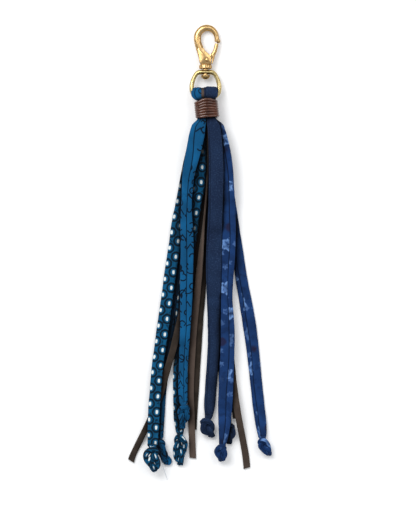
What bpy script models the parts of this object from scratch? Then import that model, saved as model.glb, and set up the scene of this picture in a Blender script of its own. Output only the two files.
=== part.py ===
"""A bag tassel: a swivel snap hook, its ring, four knotted fabric tubes and three leather laces
folded over the ring, and a leather cord wound round their necks.

It lies on the surface Z = 0 and is seen from above: +X to its right, +Y towards the hook.
Tables are in millimetres; meshes are made in metres.
"""
import math

import bmesh
import bpy
import numpy as np
from mathutils import Vector

MM = 0.001
GAP = 0.3                 # between neighbouring pieces
STACK_GAP = 0.45          # between strands that lie on each other

# ---- ring and hook, in a frame whose origin is the middle of the ring's lower bar ----
AXIS_X = 3.8              # swivel axis
RING_BAR_Y = 97.7         # lower bar of the ring, along Y
RING_BAR_Z = 6.3          # and above the surface: the folded layers pass under it
HOOK_LENGTH = 47.1        # lower bar to the tip of the bow
HOOK_HALF_DEPTH = 2.1
WIRE_RADIUS = 1.45
PITCH = math.asin((RING_BAR_Z - HOOK_HALF_DEPTH) / HOOK_LENGTH)   # the bow's tip rests on the surface

POST_RADIUS = 1.45
BORE_RADIUS = POST_RADIUS + GAP
PIN_AT = (1.0, 24.0)      # gate pin, in the hook's frame
PIN_RADIUS = 0.9
PIN_HEAD_RADIUS = 1.4
PLATE_HALF_DEPTH = 2.0
PLATE_EDGE = 0.5          # rounding of the plate's edges
SLOT_HALF_DEPTH = 0.85
TONGUE_HALF_DEPTH = 0.55

# ---- cloth and leather ----
TUBE_THICK = 1.9          # a pressed fabric tube
LACE_WIDTH = 4.1
LACE_THICK = 1.2
CORD = 1.75               # round cord of the wrap
WRAP_TURNS = 7
WRAP_X = 4.55
WRAP_Z = 7.3
WRAP_HALF = (6.1, 5.55)   # inside half width and half height
WRAP_CORNER = 1.6
WRAP_TOP = (94.2, 0.1)    # upper edge of the turns along Y, and how it runs down to the left
WRAP_BOTTOM = (84.2, 0.12)    # and the lower edge
WRAP_ARCH = (2.45, 0.081, -0.0456)    # the upper edge bows up over the front: powers of x from WRAP_X
EXIT_Y = 84.0             # the strands leave the wrap here
ENTRY_Y = 96.4            # and enter it here, the front layers
BACK_ENTRY_Y = 94.2       # and the back ones

# Strands below the wrap: (y, left edge, right edge). Knots: (y, left edge, right edge, thickness).
BODY = {
    "TEAL_FRONT": (
        (83.4, -2.0, 3.9), (80.1, -4.6, 4.1), (75.6, -6.3, 3.8), (69.7, -7.4, 2.5), (65.2, -8.2, 1.5),
        (60.0, -9.0, 0.1), (54.8, -9.9, -1.3), (49.6, -10.8, -3.0), (43.7, -11.3, -4.1),
        (30.7, -11.5, -5.2), (21.0, -12.1, -5.3), (11.2, -12.4, -4.3), (-1.8, -12.1, -4.1),
        (-21.3, -12.6, -4.6), (-34.3, -12.4, -5.0), (-50.5, -12.4, -5.9), (-66.8, -13.0, -7.3),
        (-83.0, -13.6, -8.0), (-96.0, -13.7, -8.2), (-101.2, -12.6, -8.0),
    ),
    "TEAL_BACK": (
        (83.4, -1.1, 3.5), (76.2, -3.7, 2.8), (63.2, -7.2, 0.2), (47.0, -10.2, -2.4),
        (30.7, -13.4, -5.9), (4.7, -16.3, -8.9), (-14.8, -18.3, -10.8), (-34.3, -20.9, -13.4),
        (-53.8, -23.2, -15.8), (-73.3, -26.1, -18.9), (-92.8, -29.0, -21.9), (-109.0, -30.6, -22.8),
        (-118.8, -31.0, -23.5), (-124.0, -30.3, -23.8),
    ),
    "DOTS_FRONT": (
        (83.4, -1.0, 3.9), (76.2, -2.0, 4.2), (66.5, -2.4, 4.2), (54.1, -2.8, 4.2), (42.4, -4.0, 3.4),
        (32.0, -5.9, 0.9), (22.9, -7.4, -0.6), (13.2, -8.9, -1.9), (-1.8, -10.6, -3.6),
        (-18.0, -12.4, -5.1), (-34.3, -14.4, -7.1), (-50.5, -16.0, -8.7), (-66.8, -16.3, -9.6),
        (-83.0, -17.3, -9.8), (-99.3, -17.0, -9.5), (-112.3, -16.7, -9.3), (-120.1, -15.0, -10.5),
    ),
    "DOTS_BACK": (
        (83.4, -2.0, 3.5), (76.2, -5.3, 2.2), (63.2, -8.5, -1.1), (53.5, -10.8, -3.3),
        (43.7, -12.8, -5.5), (30.7, -15.0, -7.7), (14.5, -18.3, -10.8), (1.5, -19.9, -12.4),
        (-14.8, -22.5, -15.0), (-34.3, -25.0, -17.8), (-47.3, -26.9, -19.5), (-63.5, -29.2, -21.9),
        (-79.8, -31.2, -24.1), (-92.8, -32.3, -25.1), (-105.8, -33.2, -26.0), (-118.8, -33.6, -26.6),
        (-128.5, -33.6, -27.4),
    ),
    "NAVY_FRONT": (
        (83.4, 4.5, 12.3), (78.5, 5.2, 13.2), (73.5, 5.7, 13.9), (66.5, 6.1, 14.5), (53.5, 6.2, 15.4),
        (40.5, 6.2, 15.2),
        (27.5, 6.0, 14.7), (14.5, 5.3, 14.5), (1.5, 4.6, 14.3), (-14.8, 4.3, 13.9), (-34.3, 4.8, 13.4),
        (-47.3, 5.4, 13.2), (-60.3, 5.6, 13.1), (-73.3, 5.0, 12.2), (-86.3, 4.1, 11.3),
        (-99.3, 3.2, 10.1), (-105.8, 3.0, 9.6), (-110.3, 3.7, 7.9),
    ),
    "NAVY_BACK": (
        (83.4, 6.2, 10.8), (73.0, 6.9, 13.0), (56.7, 7.6, 14.4), (30.7, 7.8, 15.2), (4.7, 8.4, 15.8),
        (-21.3, 9.5, 17.0), (-47.3, 10.6, 17.9), (-73.3, 11.9, 19.1), (-92.8, 12.9, 19.9),
        (-107.1, 13.9, 20.6), (-113.6, 16.2, 20.4),
    ),
    "FLOWER_FRONT": (
        (83.4, 6.8, 13.2), (77.5, 8.2, 16.2), (73.6, 9.2, 17.4), (65.8, 10.5, 19.2), (59.3, 11.5, 20.5),
        (51.5, 12.5, 21.5), (43.7, 13.2, 21.9), (30.7, 14.2, 22.7), (11.2, 15.1, 23.4),
        (-8.3, 14.7, 22.7), (-21.3, 14.4, 21.6), (-34.3, 14.1, 21.0), (-47.3, 14.0, 22.3),
        (-60.3, 14.0, 22.7), (-73.3, 13.4, 22.2), (-86.3, 12.8, 21.7), (-99.3, 12.1, 21.3),
        (-112.3, 12.4, 20.2), (-122.0, 12.4, 18.7), (-127.2, 13.0, 16.7),
    ),
    "FLOWER_BACK": (
        (83.4, 6.2, 11.4), (73.0, 7.4, 14.5), (56.7, 10.3, 17.8), (40.5, 13.6, 21.0),
        (27.5, 15.8, 23.5), (17.7, 17.5, 24.9), (4.7, 19.5, 26.9), (-8.3, 21.7, 29.0),
        (-21.3, 23.6, 30.9), (-34.3, 25.7, 33.6), (-47.3, 27.8, 36.0), (-60.3, 29.8, 37.7),
        (-73.3, 31.5, 39.0), (-86.3, 32.9, 40.3), (-99.3, 34.3, 41.6), (-112.3, 36.0, 43.1),
        (-118.8, 37.1, 43.4), (-123.3, 38.8, 42.9),
    ),
    "LACE_MIDDLE_FRONT": (
        (83.4, 5.1), (76.0, 5.4), (60.0, 5.5), (50.0, 5.3), (43.7, 5.0), (37.0, 4.6), (26.0, 3.7),
        (16.4, 2.8), (4.7, 1.7), (-7.0, 0.6), (-17.0, -0.3), (-28.4, -1.4), (-47.3, -3.4),
        (-60.3, -4.4), (-73.3, -5.2), (-86.3, -5.8), (-99.3, -5.9), (-112.3, -5.4), (-125.3, -4.9),
        (-137.0, -4.4),
    ),
    "LACE_MIDDLE_BACK": (
        (83.4, 5.1), (76.0, 4.7), (69.7, 4.45), (43.7, 4.3), (17.7, 3.9), (-1.8, 3.6), (-18.0, 2.7),
        (-34.3, 1.3), (-47.3, 0.2), (-60.3, -0.6), (-73.3, -1.4), (-86.3, -2.3), (-99.3, -3.0),
        (-111.0, -3.7), (-118.8, -4.2),
    ),
    "LACE_LEFT_FRONT": (
        (83.4, 1.2), (76.0, -0.6), (69.7, -2.3), (60.0, -4.4), (54.8, -5.5), (43.7, -7.3), (30.7, -8.0),
        (11.2, -8.3), (-8.0, -8.4), (-21.3, -8.8), (-34.3, -10.0), (-45.3, -12.1), (-53.8, -14.2),
        (-66.8, -17.3), (-79.8, -21.1), (-92.8, -24.7), (-104.5, -28.7),
        (-115.5, -33.9), (-125.3, -38.6), (-131.8, -41.9), (-138.9, -45.1),
    ),
    "LACE_LEFT_BACK": (
        (83.4, 1.0), (76.0, -0.2), (69.7, -0.6), (54.1, -0.5), (43.7, -0.25), (17.7, -0.65), (-1.8, -1.5),
        (-18.0, -2.8), (-34.3, -4.6), (-47.3, -6.4), (-66.8, -9.6), (-81.0, -12.0), (-96.0, -13.2),
    ),
    "LACE_RIGHT_FRONT": (
        (83.4, 8.4), (69.7, 9.0), (43.7, 11.0), (17.7, 12.9), (-8.3, 14.5), (-34.3, 16.6),
        (-60.3, 19.3), (-86.3, 21.7), (-99.3, 23.4), (-112.3, 25.6), (-125.3, 28.1), (-135.0, 29.9),
        (-143.5, 30.8),
    ),
    "LACE_RIGHT_BACK": (
        (83.4, 8.5), (69.7, 9.0), (43.7, 10.6), (17.7, 12.3), (-8.3, 13.9), (-34.3, 15.8),
        (-60.3, 18.1), (-86.3, 20.6), (-102.5, 22.6), (-111.6, 23.8),
    ),
}
KNOTS = {
    "TEAL_FRONT": (
        (-103.8, -13.6, -6.6, 5.0), (-106.4, -14.3, -5.9, 6.6), (-109.7, -14.1, -6.4, 6.4),
        (-112.3, -12.8, -8.5, 4.5), (-115.5, -12.4, -9.8, 2.2), (-117.8, -12.1, -10.2, 1.4),
    ),
    "TEAL_BACK": (
        (-125.9, -30.0, -23.7, 2.4), (-129.2, -29.0, -22.8, 5.0), (-133.1, -28.0, -21.5, 5.5),
        (-136.3, -26.4, -19.3, 3.5), (-138.9, -23.8, -18.8, 2.0), (-141.4, -22.5, -20.3, 1.6),
    ),
    "DOTS_FRONT": (
        (-124.6, -14.7, -8.7, 3.0), (-127.2, -17.0, -7.9, 6.5), (-131.1, -17.5, -7.8, 7.5),
        (-135.0, -17.0, -8.7, 6.5), (-138.0, -16.3, -10.2, 3.5), (-141.3, -14.1, -11.3, 1.6),
    ),
    "DOTS_BACK": (
        (-132.8, -35.8, -26.7, 5.5), (-136.3, -36.7, -26.3, 7.5), (-140.2, -34.9, -26.2, 7.5),
        (-143.2, -32.6, -26.4, 5.5), (-144.9, -30.6, -28.0, 3.0),
    ),
    "NAVY_FRONT": (
        (-112.3, 0.6, 8.7, 5.5), (-114.9, -0.3, 9.7, 7.5), (-118.1, 0.7, 9.8, 7.5),
        (-120.7, 3.3, 9.8, 5.5), (-122.4, 6.1, 9.5, 3.0),
    ),
    "NAVY_BACK": (
        (-117.2, 16.2, 23.0, 5.0), (-120.1, 16.5, 23.6, 5.6), (-123.3, 17.1, 23.0, 4.8),
        (-125.9, 18.1, 20.5, 2.5), (-127.9, 18.1, 20.1, 1.5),
    ),
    "FLOWER_FRONT": (
        (-128.5, 12.6, 16.7, 2.6), (-130.8, 10.0, 17.5, 6.0), (-134.1, 9.3, 17.8, 7.2),
        (-136.7, 10.6, 17.1, 5.5), (-138.0, 12.6, 16.5, 3.0),
    ),
    "FLOWER_BACK": (
        (-125.9, 37.7, 45.1, 5.5), (-128.9, 37.7, 45.7, 7.0), (-131.5, 39.6, 47.4, 6.5),
        (-133.4, 42.5, 47.2, 4.5), (-134.5, 43.5, 46.4, 2.5),
    ),
}

# Cells of the strands inside the wrap: (centre x from WRAP_X, bottom z, width, thickness).
# From the surface upwards each side holds back ends first and front ends last.
CELLS = {
    "TEAL_BACK": (-3.2, 2.05, 4.4, 1.6), "LACE_LEFT_BACK": (-3.4, 3.95, 4.1, 1.2),
    "DOTS_BACK": (-3.35, 5.45, 4.8, 1.65), "DOTS_FRONT": (-3.35, 7.4, 4.8, 1.65),
    "LACE_LEFT_FRONT": (-3.4, 9.35, 4.1, 1.2), "TEAL_FRONT": (-2.8, 10.85, 5.2, 1.7),
    "NAVY_BACK": (3.2, 2.05, 4.4, 1.6), "FLOWER_BACK": (3.35, 3.95, 4.8, 1.65),
    "LACE_RIGHT_BACK": (3.4, 5.9, 4.1, 1.2), "LACE_RIGHT_FRONT": (3.4, 7.4, 4.1, 1.2),
    "FLOWER_FRONT": (3.35, 8.9, 4.8, 1.65), "NAVY_FRONT": (2.8, 10.85, 5.2, 1.7),
    "LACE_MIDDLE_BACK": (0.0, 2.05, 1.2, 4.1), "LACE_MIDDLE_FRONT": (0.0, 6.45, 1.2, 4.1),
}
# Front ends that come into the wrap's mouth askew: (y, centre x from WRAP_X, bottom z, width, thickness).
MOUTH = {
    "LACE_MIDDLE_FRONT": (96.4, -1.45, 7.45, 1.2, 3.1), "TEAL_FRONT": (95.9, -5.02, 10.85, 5.85, 1.7),
    "DOTS_FRONT": (96.4, -4.45, 7.4, 4.1, 1.65), "LACE_LEFT_FRONT": (96.4, -4.45, 9.35, 4.1, 1.2),
}

# Folds over the ring's lower bar: (left edge, right edge, inner radius, thickness) round the bar.
FOLDS = {
    "fabric_dots": (-2.0, 1.1, 1.95, 1.3), "lace_left": (-2.6, 1.1, 3.55, 1.1),
    "fabric_teal": (-3.3, 1.05, 4.95, 1.3), "lace_middle": (1.45, 2.65, 1.95, 4.0),
    "lace_right": (4.6, 8.5, 1.95, 1.1), "fabric_flower": (4.4, 10.2, 3.35, 1.3),
    "fabric_navy": (3.0, 10.8, 4.95, 1.3),
}
# How far the outer folds spread past their left and right edges as they come forward.
FOLD_SPREAD = {"fabric_teal": (2.0, 0.0), "fabric_navy": (0.0, 0.9), "fabric_flower": (0.0, 1.2)}
FOLD_REACH = {"fabric_navy": 0.5}         # how far a loop stands off past its round, along Y

# Each folded piece: front end, back end, colour, and where the seam lies across the width of each
# end, from -1 at one edge to 1 at the other.
PIECES = {
    "fabric_teal": ("TEAL_FRONT", "TEAL_BACK", (0.02, 0.21, 0.38), (0.3, 0.2)),
    "fabric_dots": ("DOTS_FRONT", "DOTS_BACK", (0.03, 0.17, 0.28), (0.25, 0.4)),
    "fabric_navy": ("NAVY_FRONT", "NAVY_BACK", (0.03, 0.05, 0.12), (-0.7, 0.3)),
    "fabric_flower": ("FLOWER_FRONT", "FLOWER_BACK", (0.03, 0.1, 0.35), (0.15, -0.35)),
    "lace_middle": ("LACE_MIDDLE_FRONT", "LACE_MIDDLE_BACK", (0.1, 0.07, 0.05), None),
    "lace_left": ("LACE_LEFT_FRONT", "LACE_LEFT_BACK", (0.09, 0.065, 0.045), None),
    "lace_right": ("LACE_RIGHT_FRONT", "LACE_RIGHT_BACK", (0.1, 0.07, 0.05), None),
}

# What lies on what below the wrap, from the surface upwards.
LAYERS = (
    "TEAL_BACK", "NAVY_BACK", "LACE_LEFT_BACK", "LACE_MIDDLE_BACK", "FLOWER_BACK", "DOTS_FRONT",
    "LACE_RIGHT_BACK", "LACE_LEFT_FRONT", "LACE_RIGHT_FRONT", "DOTS_BACK", "LACE_MIDDLE_FRONT",
    "FLOWER_FRONT", "TEAL_FRONT", "NAVY_FRONT",
)
DOTS_CROSS_Y = 0.0        # above this line the dotted back end is still under the front one
LACE_TURN = {"LACE_MIDDLE_FRONT": (25.0, -40.0), "LACE_MIDDLE_BACK": (84.0, 40.0)}   # on edge, then flat

GRID_STEP = 1.5
GRID = np.arange(EXIT_Y, -147.0, -GRID_STEP)      # stations along the hanging ends
LIFT_LENGTH = 46.0        # a strand comes down to the surface over this length
DRAPE = 16.0              # a strand rides up to what it crosses over this length
NECK_LENGTH = 9.0         # a strand narrows into its knot over this length
NECK_LIFT = 1.3           # and rises this far
CELL_LENGTH = 6.0         # a strand keeps the shape of its cell in the wrap for this length
SIDE_CLEAR = 0.35         # strands further apart than this lie side by side
STACK_PASSES = 5


def smooth(t):
    """Ease from 0 to 1."""
    t = np.clip(t, 0.0, 1.0)
    return t * t * (3.0 - 2.0 * t)


def mix(a, b, t):
    return a + (b - a) * t


def relax(values, reach):
    """Round off the corners of a profile on GRID."""
    n = max(1, int(round(reach / GRID_STEP)))
    kernel = np.hanning(2 * n + 3)[1:-1]
    kernel /= kernel.sum()
    padded = np.pad(values, n, mode="reflect", reflect_type="odd")
    return np.convolve(padded, kernel, mode="valid")


class Strand:
    """One end of a folded piece: its edges, thickness and height on GRID."""

    def __init__(self, name, rows, knot):
        self.name = name
        self.lace = len(rows[0]) == 2
        self.knot = knot
        body = np.array(rows, float)
        if self.lace:
            half = np.full(len(body), LACE_WIDTH / 2)
            body = np.column_stack([body[:, 0], body[:, 1] - half, body[:, 1] + half])
        self.body_end = body[-1, 0]
        self.end = knot[-1][0] if knot else self.body_end
        centre = self.on_grid(body[:, 0], body[:, 1:3].mean(axis=1))
        width = self.on_grid(body[:, 0], body[:, 2] - body[:, 1])
        self.thick = np.full(len(GRID), LACE_THICK if self.lace else TUBE_THICK)
        centre, width = relax(centre, 6.0), relax(width, 6.0)
        lift = np.zeros(len(GRID))
        if knot:
            k = np.array(knot, float)
            inside = GRID < self.body_end
            ys = np.concatenate([[self.body_end], k[:, 0]])
            cs = np.concatenate([[body[-1, 1:3].mean()], k[:, 1:3].mean(axis=1)])
            ws = np.concatenate([[body[-1, 2] - body[-1, 1]], k[:, 2] - k[:, 1]])
            ts = np.concatenate([[TUBE_THICK], k[:, 3]])
            centre[inside] = np.interp(-GRID[inside], -ys, cs)
            width[inside] = np.interp(-GRID[inside], -ys, ws)
            self.thick[inside] = np.interp(-GRID[inside], -ys, ts)
            near = smooth(1.0 - (GRID - self.body_end) / NECK_LENGTH) * (GRID >= self.body_end)
            lift = NECK_LIFT * near
        self.roll = np.zeros(len(GRID))
        if name in LACE_TURN:
            start, stop = LACE_TURN[name]
            self.roll = (math.pi / 2) * (1.0 - smooth((start - GRID) / (start - stop)))
        # Out of the wrap's cell over the first few millimetres.
        cx, cz, cw, ct = CELLS[name]
        out = smooth((EXIT_Y - GRID) / CELL_LENGTH)
        on_edge = name in LACE_TURN
        self.cell_z = cz
        self.x = mix(WRAP_X + cx, centre, out)
        self.w = width if on_edge else mix(cw, width, out)
        self.t = self.thick if on_edge else mix(ct, self.thick, out)
        self.out = out
        self.span = np.abs(self.w * np.cos(self.roll)) + np.abs(self.t * np.sin(self.roll))
        self.height = np.abs(self.w * np.sin(self.roll)) + np.abs(self.t * np.cos(self.roll))
        self.base = np.maximum(cz * smooth(1.0 - (EXIT_Y - GRID) / LIFT_LENGTH), lift)
        self.z = self.base.copy()
        self.there = GRID >= self.end - 1.0

    @staticmethod
    def on_grid(ys, values):
        return np.interp(-GRID, -np.asarray(ys), values)

    def at(self, field, y):
        return float(np.interp(-y, -GRID, getattr(self, field)))


def rank(name, y_grid):
    """Layer number of a strand along its length."""
    layer = np.full(len(y_grid), float(LAYERS.index(name)))
    if name == "DOTS_BACK":
        layer[y_grid > DOTS_CROSS_Y] = LAYERS.index("DOTS_FRONT") - 0.5
    return layer


def stack(strands):
    """Give every strand the height at which it lies on those under it."""
    apart = np.abs(GRID[:, None] - GRID[None, :])
    fall = smooth(1.0 - np.maximum(apart - GRID_STEP, 0.0) / DRAPE)
    ranks = {s.name: rank(s.name, GRID) for s in strands}
    for _ in range(STACK_PASSES):
        for s in sorted(strands, key=lambda item: LAYERS.index(item.name)):
            need = s.base.copy()
            for other in strands:
                if other is s:
                    continue
                overlap = np.abs(s.x - other.x) < (s.span + other.span) / 2 + SIDE_CLEAR
                under = overlap & other.there & s.there & (ranks[other.name] < ranks[s.name])
                need = np.where(under, np.maximum(need, other.z + other.height + STACK_GAP), need)
            drape = (need[None, :] * fall).max(axis=1)
            s.z = mix(s.cell_z, drape, s.out)


def lay_strands():
    """All hanging ends by name, each at its height."""
    strands = {name: Strand(name, BODY[name], KNOTS.get(name)) for name in LAYERS}
    stack(list(strands.values()))
    return strands


# ---------------------------------------------------------------- mesh helpers
def clear_scene():
    for obj in list(bpy.data.objects):
        bpy.data.objects.remove(obj, do_unlink=True)


def material(name, colour, roughness, metallic=0.0):
    mat = bpy.data.materials.new(name)
    mat.use_nodes = True
    shader = mat.node_tree.nodes["Principled BSDF"]
    shader.inputs["Base Color"].default_value = (*colour, 1.0)
    shader.inputs["Roughness"].default_value = roughness
    shader.inputs["Metallic"].default_value = metallic
    mat.diffuse_color = (*colour, 1.0)
    return mat


def add_object(name, verts, faces, mat, parent=None, smooth_angle=50):
    """A mesh object from points in millimetres."""
    mesh = bpy.data.meshes.new(name)
    mesh.from_pydata([tuple(c * MM for c in v) for v in verts], [], faces)
    mesh.validate()
    mesh.shade_smooth()
    mesh.set_sharp_from_angle(angle=math.radians(smooth_angle))
    if mat:
        mesh.materials.append(mat)
    obj = bpy.data.objects.new(name, mesh)
    bpy.context.collection.objects.link(obj)
    obj.parent = parent
    return obj


def loft(rings, closed=False):
    """Vertices and faces of a skin over rings of equal length, with end caps unless closed."""
    count = len(rings[0])
    verts = [p for ring in rings for p in ring]
    faces = []
    last = len(rings) if closed else len(rings) - 1
    for i in range(last):
        a, b = i * count, ((i + 1) % len(rings)) * count
        for j in range(count):
            k = (j + 1) % count
            faces.append((a + j, a + k, b + k, b + j))
    if not closed:
        for ring_index, flip in ((0, True), (len(rings) - 1, False)):
            start = ring_index * count
            middle = len(verts)
            verts.append(sum((Vector(p) for p in rings[ring_index]), Vector()) / count)
            for j in range(count):
                k = (j + 1) % count
                tri = (start + j, start + k, middle)
                faces.append(tri[::-1] if flip else tri)
    return verts, faces


def orient(obj):
    """Turn a closed mesh's faces outward."""
    bm = bmesh.new()
    bm.from_mesh(obj.data)
    bmesh.ops.recalc_face_normals(bm, faces=bm.faces)
    bm.to_mesh(obj.data)
    bm.free()
    return obj


# ---------------------------------------------------------------- folded pieces
SECTION_ANGLES = (180, 140, 105, 90, 75, 40, 0, -40, -75, -90, -105, -140)
SEAM_HALF = 0.13          # half width of a seam's trough, in half widths of the tube
SEAM_DEPTH = 0.42         # and its depth, in half thicknesses
KNOT_LUMPS = 0.09         # three lumps round a knot
KNOT_REST = 0.86          # a knot is flat below this share of its half thickness
KNOT_TWIST = 0.55         # the lumps turn along the knot, radians per millimetre
LACE_STEPS = 17
TUBE_STEPS = 21
FOLD_STEPS = 8


def tube_section(centre, across, up, width, thick, seam, face, twist):
    """Twelve points round a pressed tube. face is 1 where its upper side shows, -1 where its lower does."""
    shown = (face + 1.0) / 2.0
    hidden = 1.0 - shown
    top, low = 1.0 - 0.1 * shown, -1.0 + 0.1 * hidden
    flat = (
        (-1.0, 0.0), (-0.84, top), (seam - SEAM_HALF, 1.0), (seam, 1.0 - SEAM_DEPTH * shown),
        (seam + SEAM_HALF, 1.0), (0.84, top), (1.0, 0.0), (0.84, low), (seam + SEAM_HALF, -1.0),
        (seam, -1.0 + SEAM_DEPTH * hidden), (seam - SEAM_HALF, -1.0), (-0.84, low),
    )
    round_part = float(smooth((thick - TUBE_THICK - 0.3) / 2.6))
    points = []
    for (u, v), degrees in zip(flat, SECTION_ANGLES):
        angle = math.radians(degrees)
        lump = 1.0 + KNOT_LUMPS * math.cos(3.0 * angle + twist)
        ru = math.cos(angle) * lump
        rv = max(-1.0, min(1.0, math.sin(angle) * lump / KNOT_REST))
        u, v = mix(u, ru, round_part), mix(v, rv, round_part)
        points.append(centre + across * (u * width / 2) + up * (v * thick / 2))
    return points


def lace_section(centre, across, up, width, thick):
    """Four corners of a flat lace."""
    corners = ((-1, -1), (-1, 1), (1, 1), (1, -1))
    return [centre + across * (u * width / 2) + up * (v * thick / 2) for u, v in corners]


def end_sections(strand, face, seam):
    """Sections of one hanging end, from its tip up to the wrap."""
    steps = LACE_STEPS if strand.lace else TUBE_STEPS
    share = [(i / steps) ** 1.15 for i in range(1, steps + 1)]
    ys = [EXIT_Y - (EXIT_Y - strand.body_end) * s for s in share]
    ys += [row[0] for row in strand.knot or ()]
    slope = np.gradient(relax(strand.x, 8.0), GRID)
    sections = []
    for y in reversed(ys):
        lean = float(np.interp(-y, -GRID, slope))
        lean = max(-0.4, min(0.4, lean)) * (0.4 if y < strand.body_end else 1.0)
        across = Vector((1.0, -lean, 0.0)).normalized()
        roll = strand.at("roll", y)
        width = strand.at("w", y) * across.x
        thick = strand.at("t", y)
        middle = Vector((strand.at("x", y), y, strand.at("z", y) + strand.at("height", y) / 2))
        side = across * math.cos(roll) + Vector((0, 0, face * math.sin(roll)))
        up = Vector((0, 0, face * math.cos(roll))) - across * math.sin(roll)
        if strand.lace:
            sections.append(lace_section(middle, side, up, width, thick))
        else:
            twist = KNOT_TWIST * (strand.body_end - y)
            sections.append(tube_section(middle, side, up, width, thick, seam, face, twist))
    return sections


def cell_section(name, cell, y, face, seam, lace):
    """Section of a strand inside the wrap."""
    cx, cz, cw, ct = cell
    middle = Vector((WRAP_X + cx, y, cz + ct / 2))
    across, up = Vector((1, 0, 0)), Vector((0, 0, face))
    if name in LACE_TURN:
        return lace_section(middle, Vector((0, 0, face)), Vector((-1, 0, 0)), ct, cw)
    if lace:
        return lace_section(middle, across, up, cw, ct)
    return tube_section(middle, across, up, cw, ct, seam, face, 0.0)


def fold_sections(piece, lace, seams):
    """Round the ring's lower bar, from the front layer to the back one."""
    left, right, inner, thick = FOLDS[piece]
    spread_left, spread_right = FOLD_SPREAD.get(piece, (0.0, 0.0))
    radius = inner + thick / 2
    reach = radius + FOLD_REACH.get(piece, 0.0)
    on_edge = piece == "lace_middle"
    sections = []
    last = FOLD_STEPS - 1
    for step in range(FOLD_STEPS):
        angle = math.radians(90 - 180 * min(1.0, step / (last - 1)))
        spread = math.sin(1.35 * angle) ** 2 if angle > 0 else 0.0
        lo, hi = left - spread_left * spread, right + spread_right * spread
        back = 0.7 if step == last else 0.0
        middle = Vector(((lo + hi) / 2, RING_BAR_Y + reach * math.cos(angle) - back,
                         RING_BAR_Z + radius * math.sin(angle)))
        up = Vector((0, math.cos(angle), math.sin(angle)))
        across = Vector((1, 0, 0))
        face = 1.0 - 2.0 * step / last
        if on_edge:
            sections.append(lace_section(middle, up, Vector((-1, 0, 0)), thick, hi - lo))
        elif lace:
            sections.append(lace_section(middle, across, up, hi - lo, thick))
        else:
            seam = mix(seams[1], seams[0], (face + 1) / 2)
            sections.append(tube_section(middle, across, up, hi - lo, thick, seam, face, 0.0))
    return sections


def build_folded(piece, strands):
    """A tube or a lace: front end, fold over the ring, back end."""
    front, back, colour, seams = PIECES[piece]
    ahead, behind = strands[front], strands[back]
    lace = ahead.lace
    seams = seams or (0.0, 0.0)
    rings = end_sections(ahead, 1, seams[0])
    mouth_y, *mouth = MOUTH.get(front, (ENTRY_Y, *CELLS[front]))
    rings += [cell_section(front, CELLS[front], y, 1, seams[0], lace) for y in (EXIT_Y, BACK_ENTRY_Y)]
    rings.append(cell_section(front, mouth, mouth_y, 1, seams[0], lace))
    rings += fold_sections(piece, lace, seams)
    rings += [cell_section(back, CELLS[back], y, -1, seams[1], lace) for y in (BACK_ENTRY_Y, EXIT_Y)]
    rings += list(reversed(end_sections(behind, -1, seams[1])))
    rough = 0.75 if lace else 0.9
    return solid(piece, loft(rings), material(piece, colour, rough))


# ---------------------------------------------------------------- wrap
def wrap_outline():
    """(x, z, normal x, normal z) round the inside of the wrap."""
    rows = []
    half_x, half_z = WRAP_HALF
    for quarter in range(4):
        base = quarter * 90
        cx = (half_x - WRAP_CORNER) * (1 if quarter in (0, 3) else -1)
        cz = (half_z - WRAP_CORNER) * (1 if quarter in (0, 1) else -1)
        corner = []
        for step in range(4):
            angle = math.radians(base + 30 * step)
            nx, nz = math.cos(angle), math.sin(angle)
            corner.append((WRAP_X + cx + nx * WRAP_CORNER, WRAP_Z + cz + nz * WRAP_CORNER, nx, nz))
        rows += corner
        next_x = -cx if quarter in (0, 2) else cx
        next_z = cz if quarter in (0, 2) else -cz
        nx, nz = corner[-1][2], corner[-1][3]
        start = Vector((corner[-1][0], corner[-1][1]))
        stop = Vector((WRAP_X + next_x + nx * WRAP_CORNER, WRAP_Z + next_z + nz * WRAP_CORNER))
        for share in (1 / 3, 2 / 3):
            point = start.lerp(stop, share)
            rows.append((point.x, point.y, nx, nz))
    return rows


def turn_line(x, z, share):
    """Where a share of the way down the turns lies along Y at a place round the wrap."""
    off = x - WRAP_X
    rise = math.sin(math.atan2(z - WRAP_Z, off))
    arch = WRAP_ARCH[0] + WRAP_ARCH[1] * off + WRAP_ARCH[2] * off * off
    top = WRAP_TOP[0] + WRAP_TOP[1] * off * float(smooth(1.0 + rise)) + float(smooth(rise)) * arch
    return mix(top, WRAP_BOTTOM[0] + WRAP_BOTTOM[1] * off, share)


def build_wrap():
    """Seven turns as one ridged band."""
    profile = [(0.01, 0.0), (0.0, 0.4)]
    for turn in range(WRAP_TURNS):
        for place, out in ((0.28, 0.95), (0.72, 0.95), (1.0, 0.62)):
            profile.append(((turn + place) / WRAP_TURNS, out))
    profile[-1] = (1.0, 0.4)
    profile.append((0.99, 0.0))
    rings = []
    for x, z, nx, nz in wrap_outline():
        ring = []
        for share, out in profile:
            ring.append(Vector((x + nx * out * CORD, turn_line(x, z, share), z + nz * out * CORD)))
        rings.append(ring)
    return solid("wrap_cord", loft(rings, closed=True), material("wrap_cord", (0.07, 0.03, 0.02), 0.4))


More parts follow.
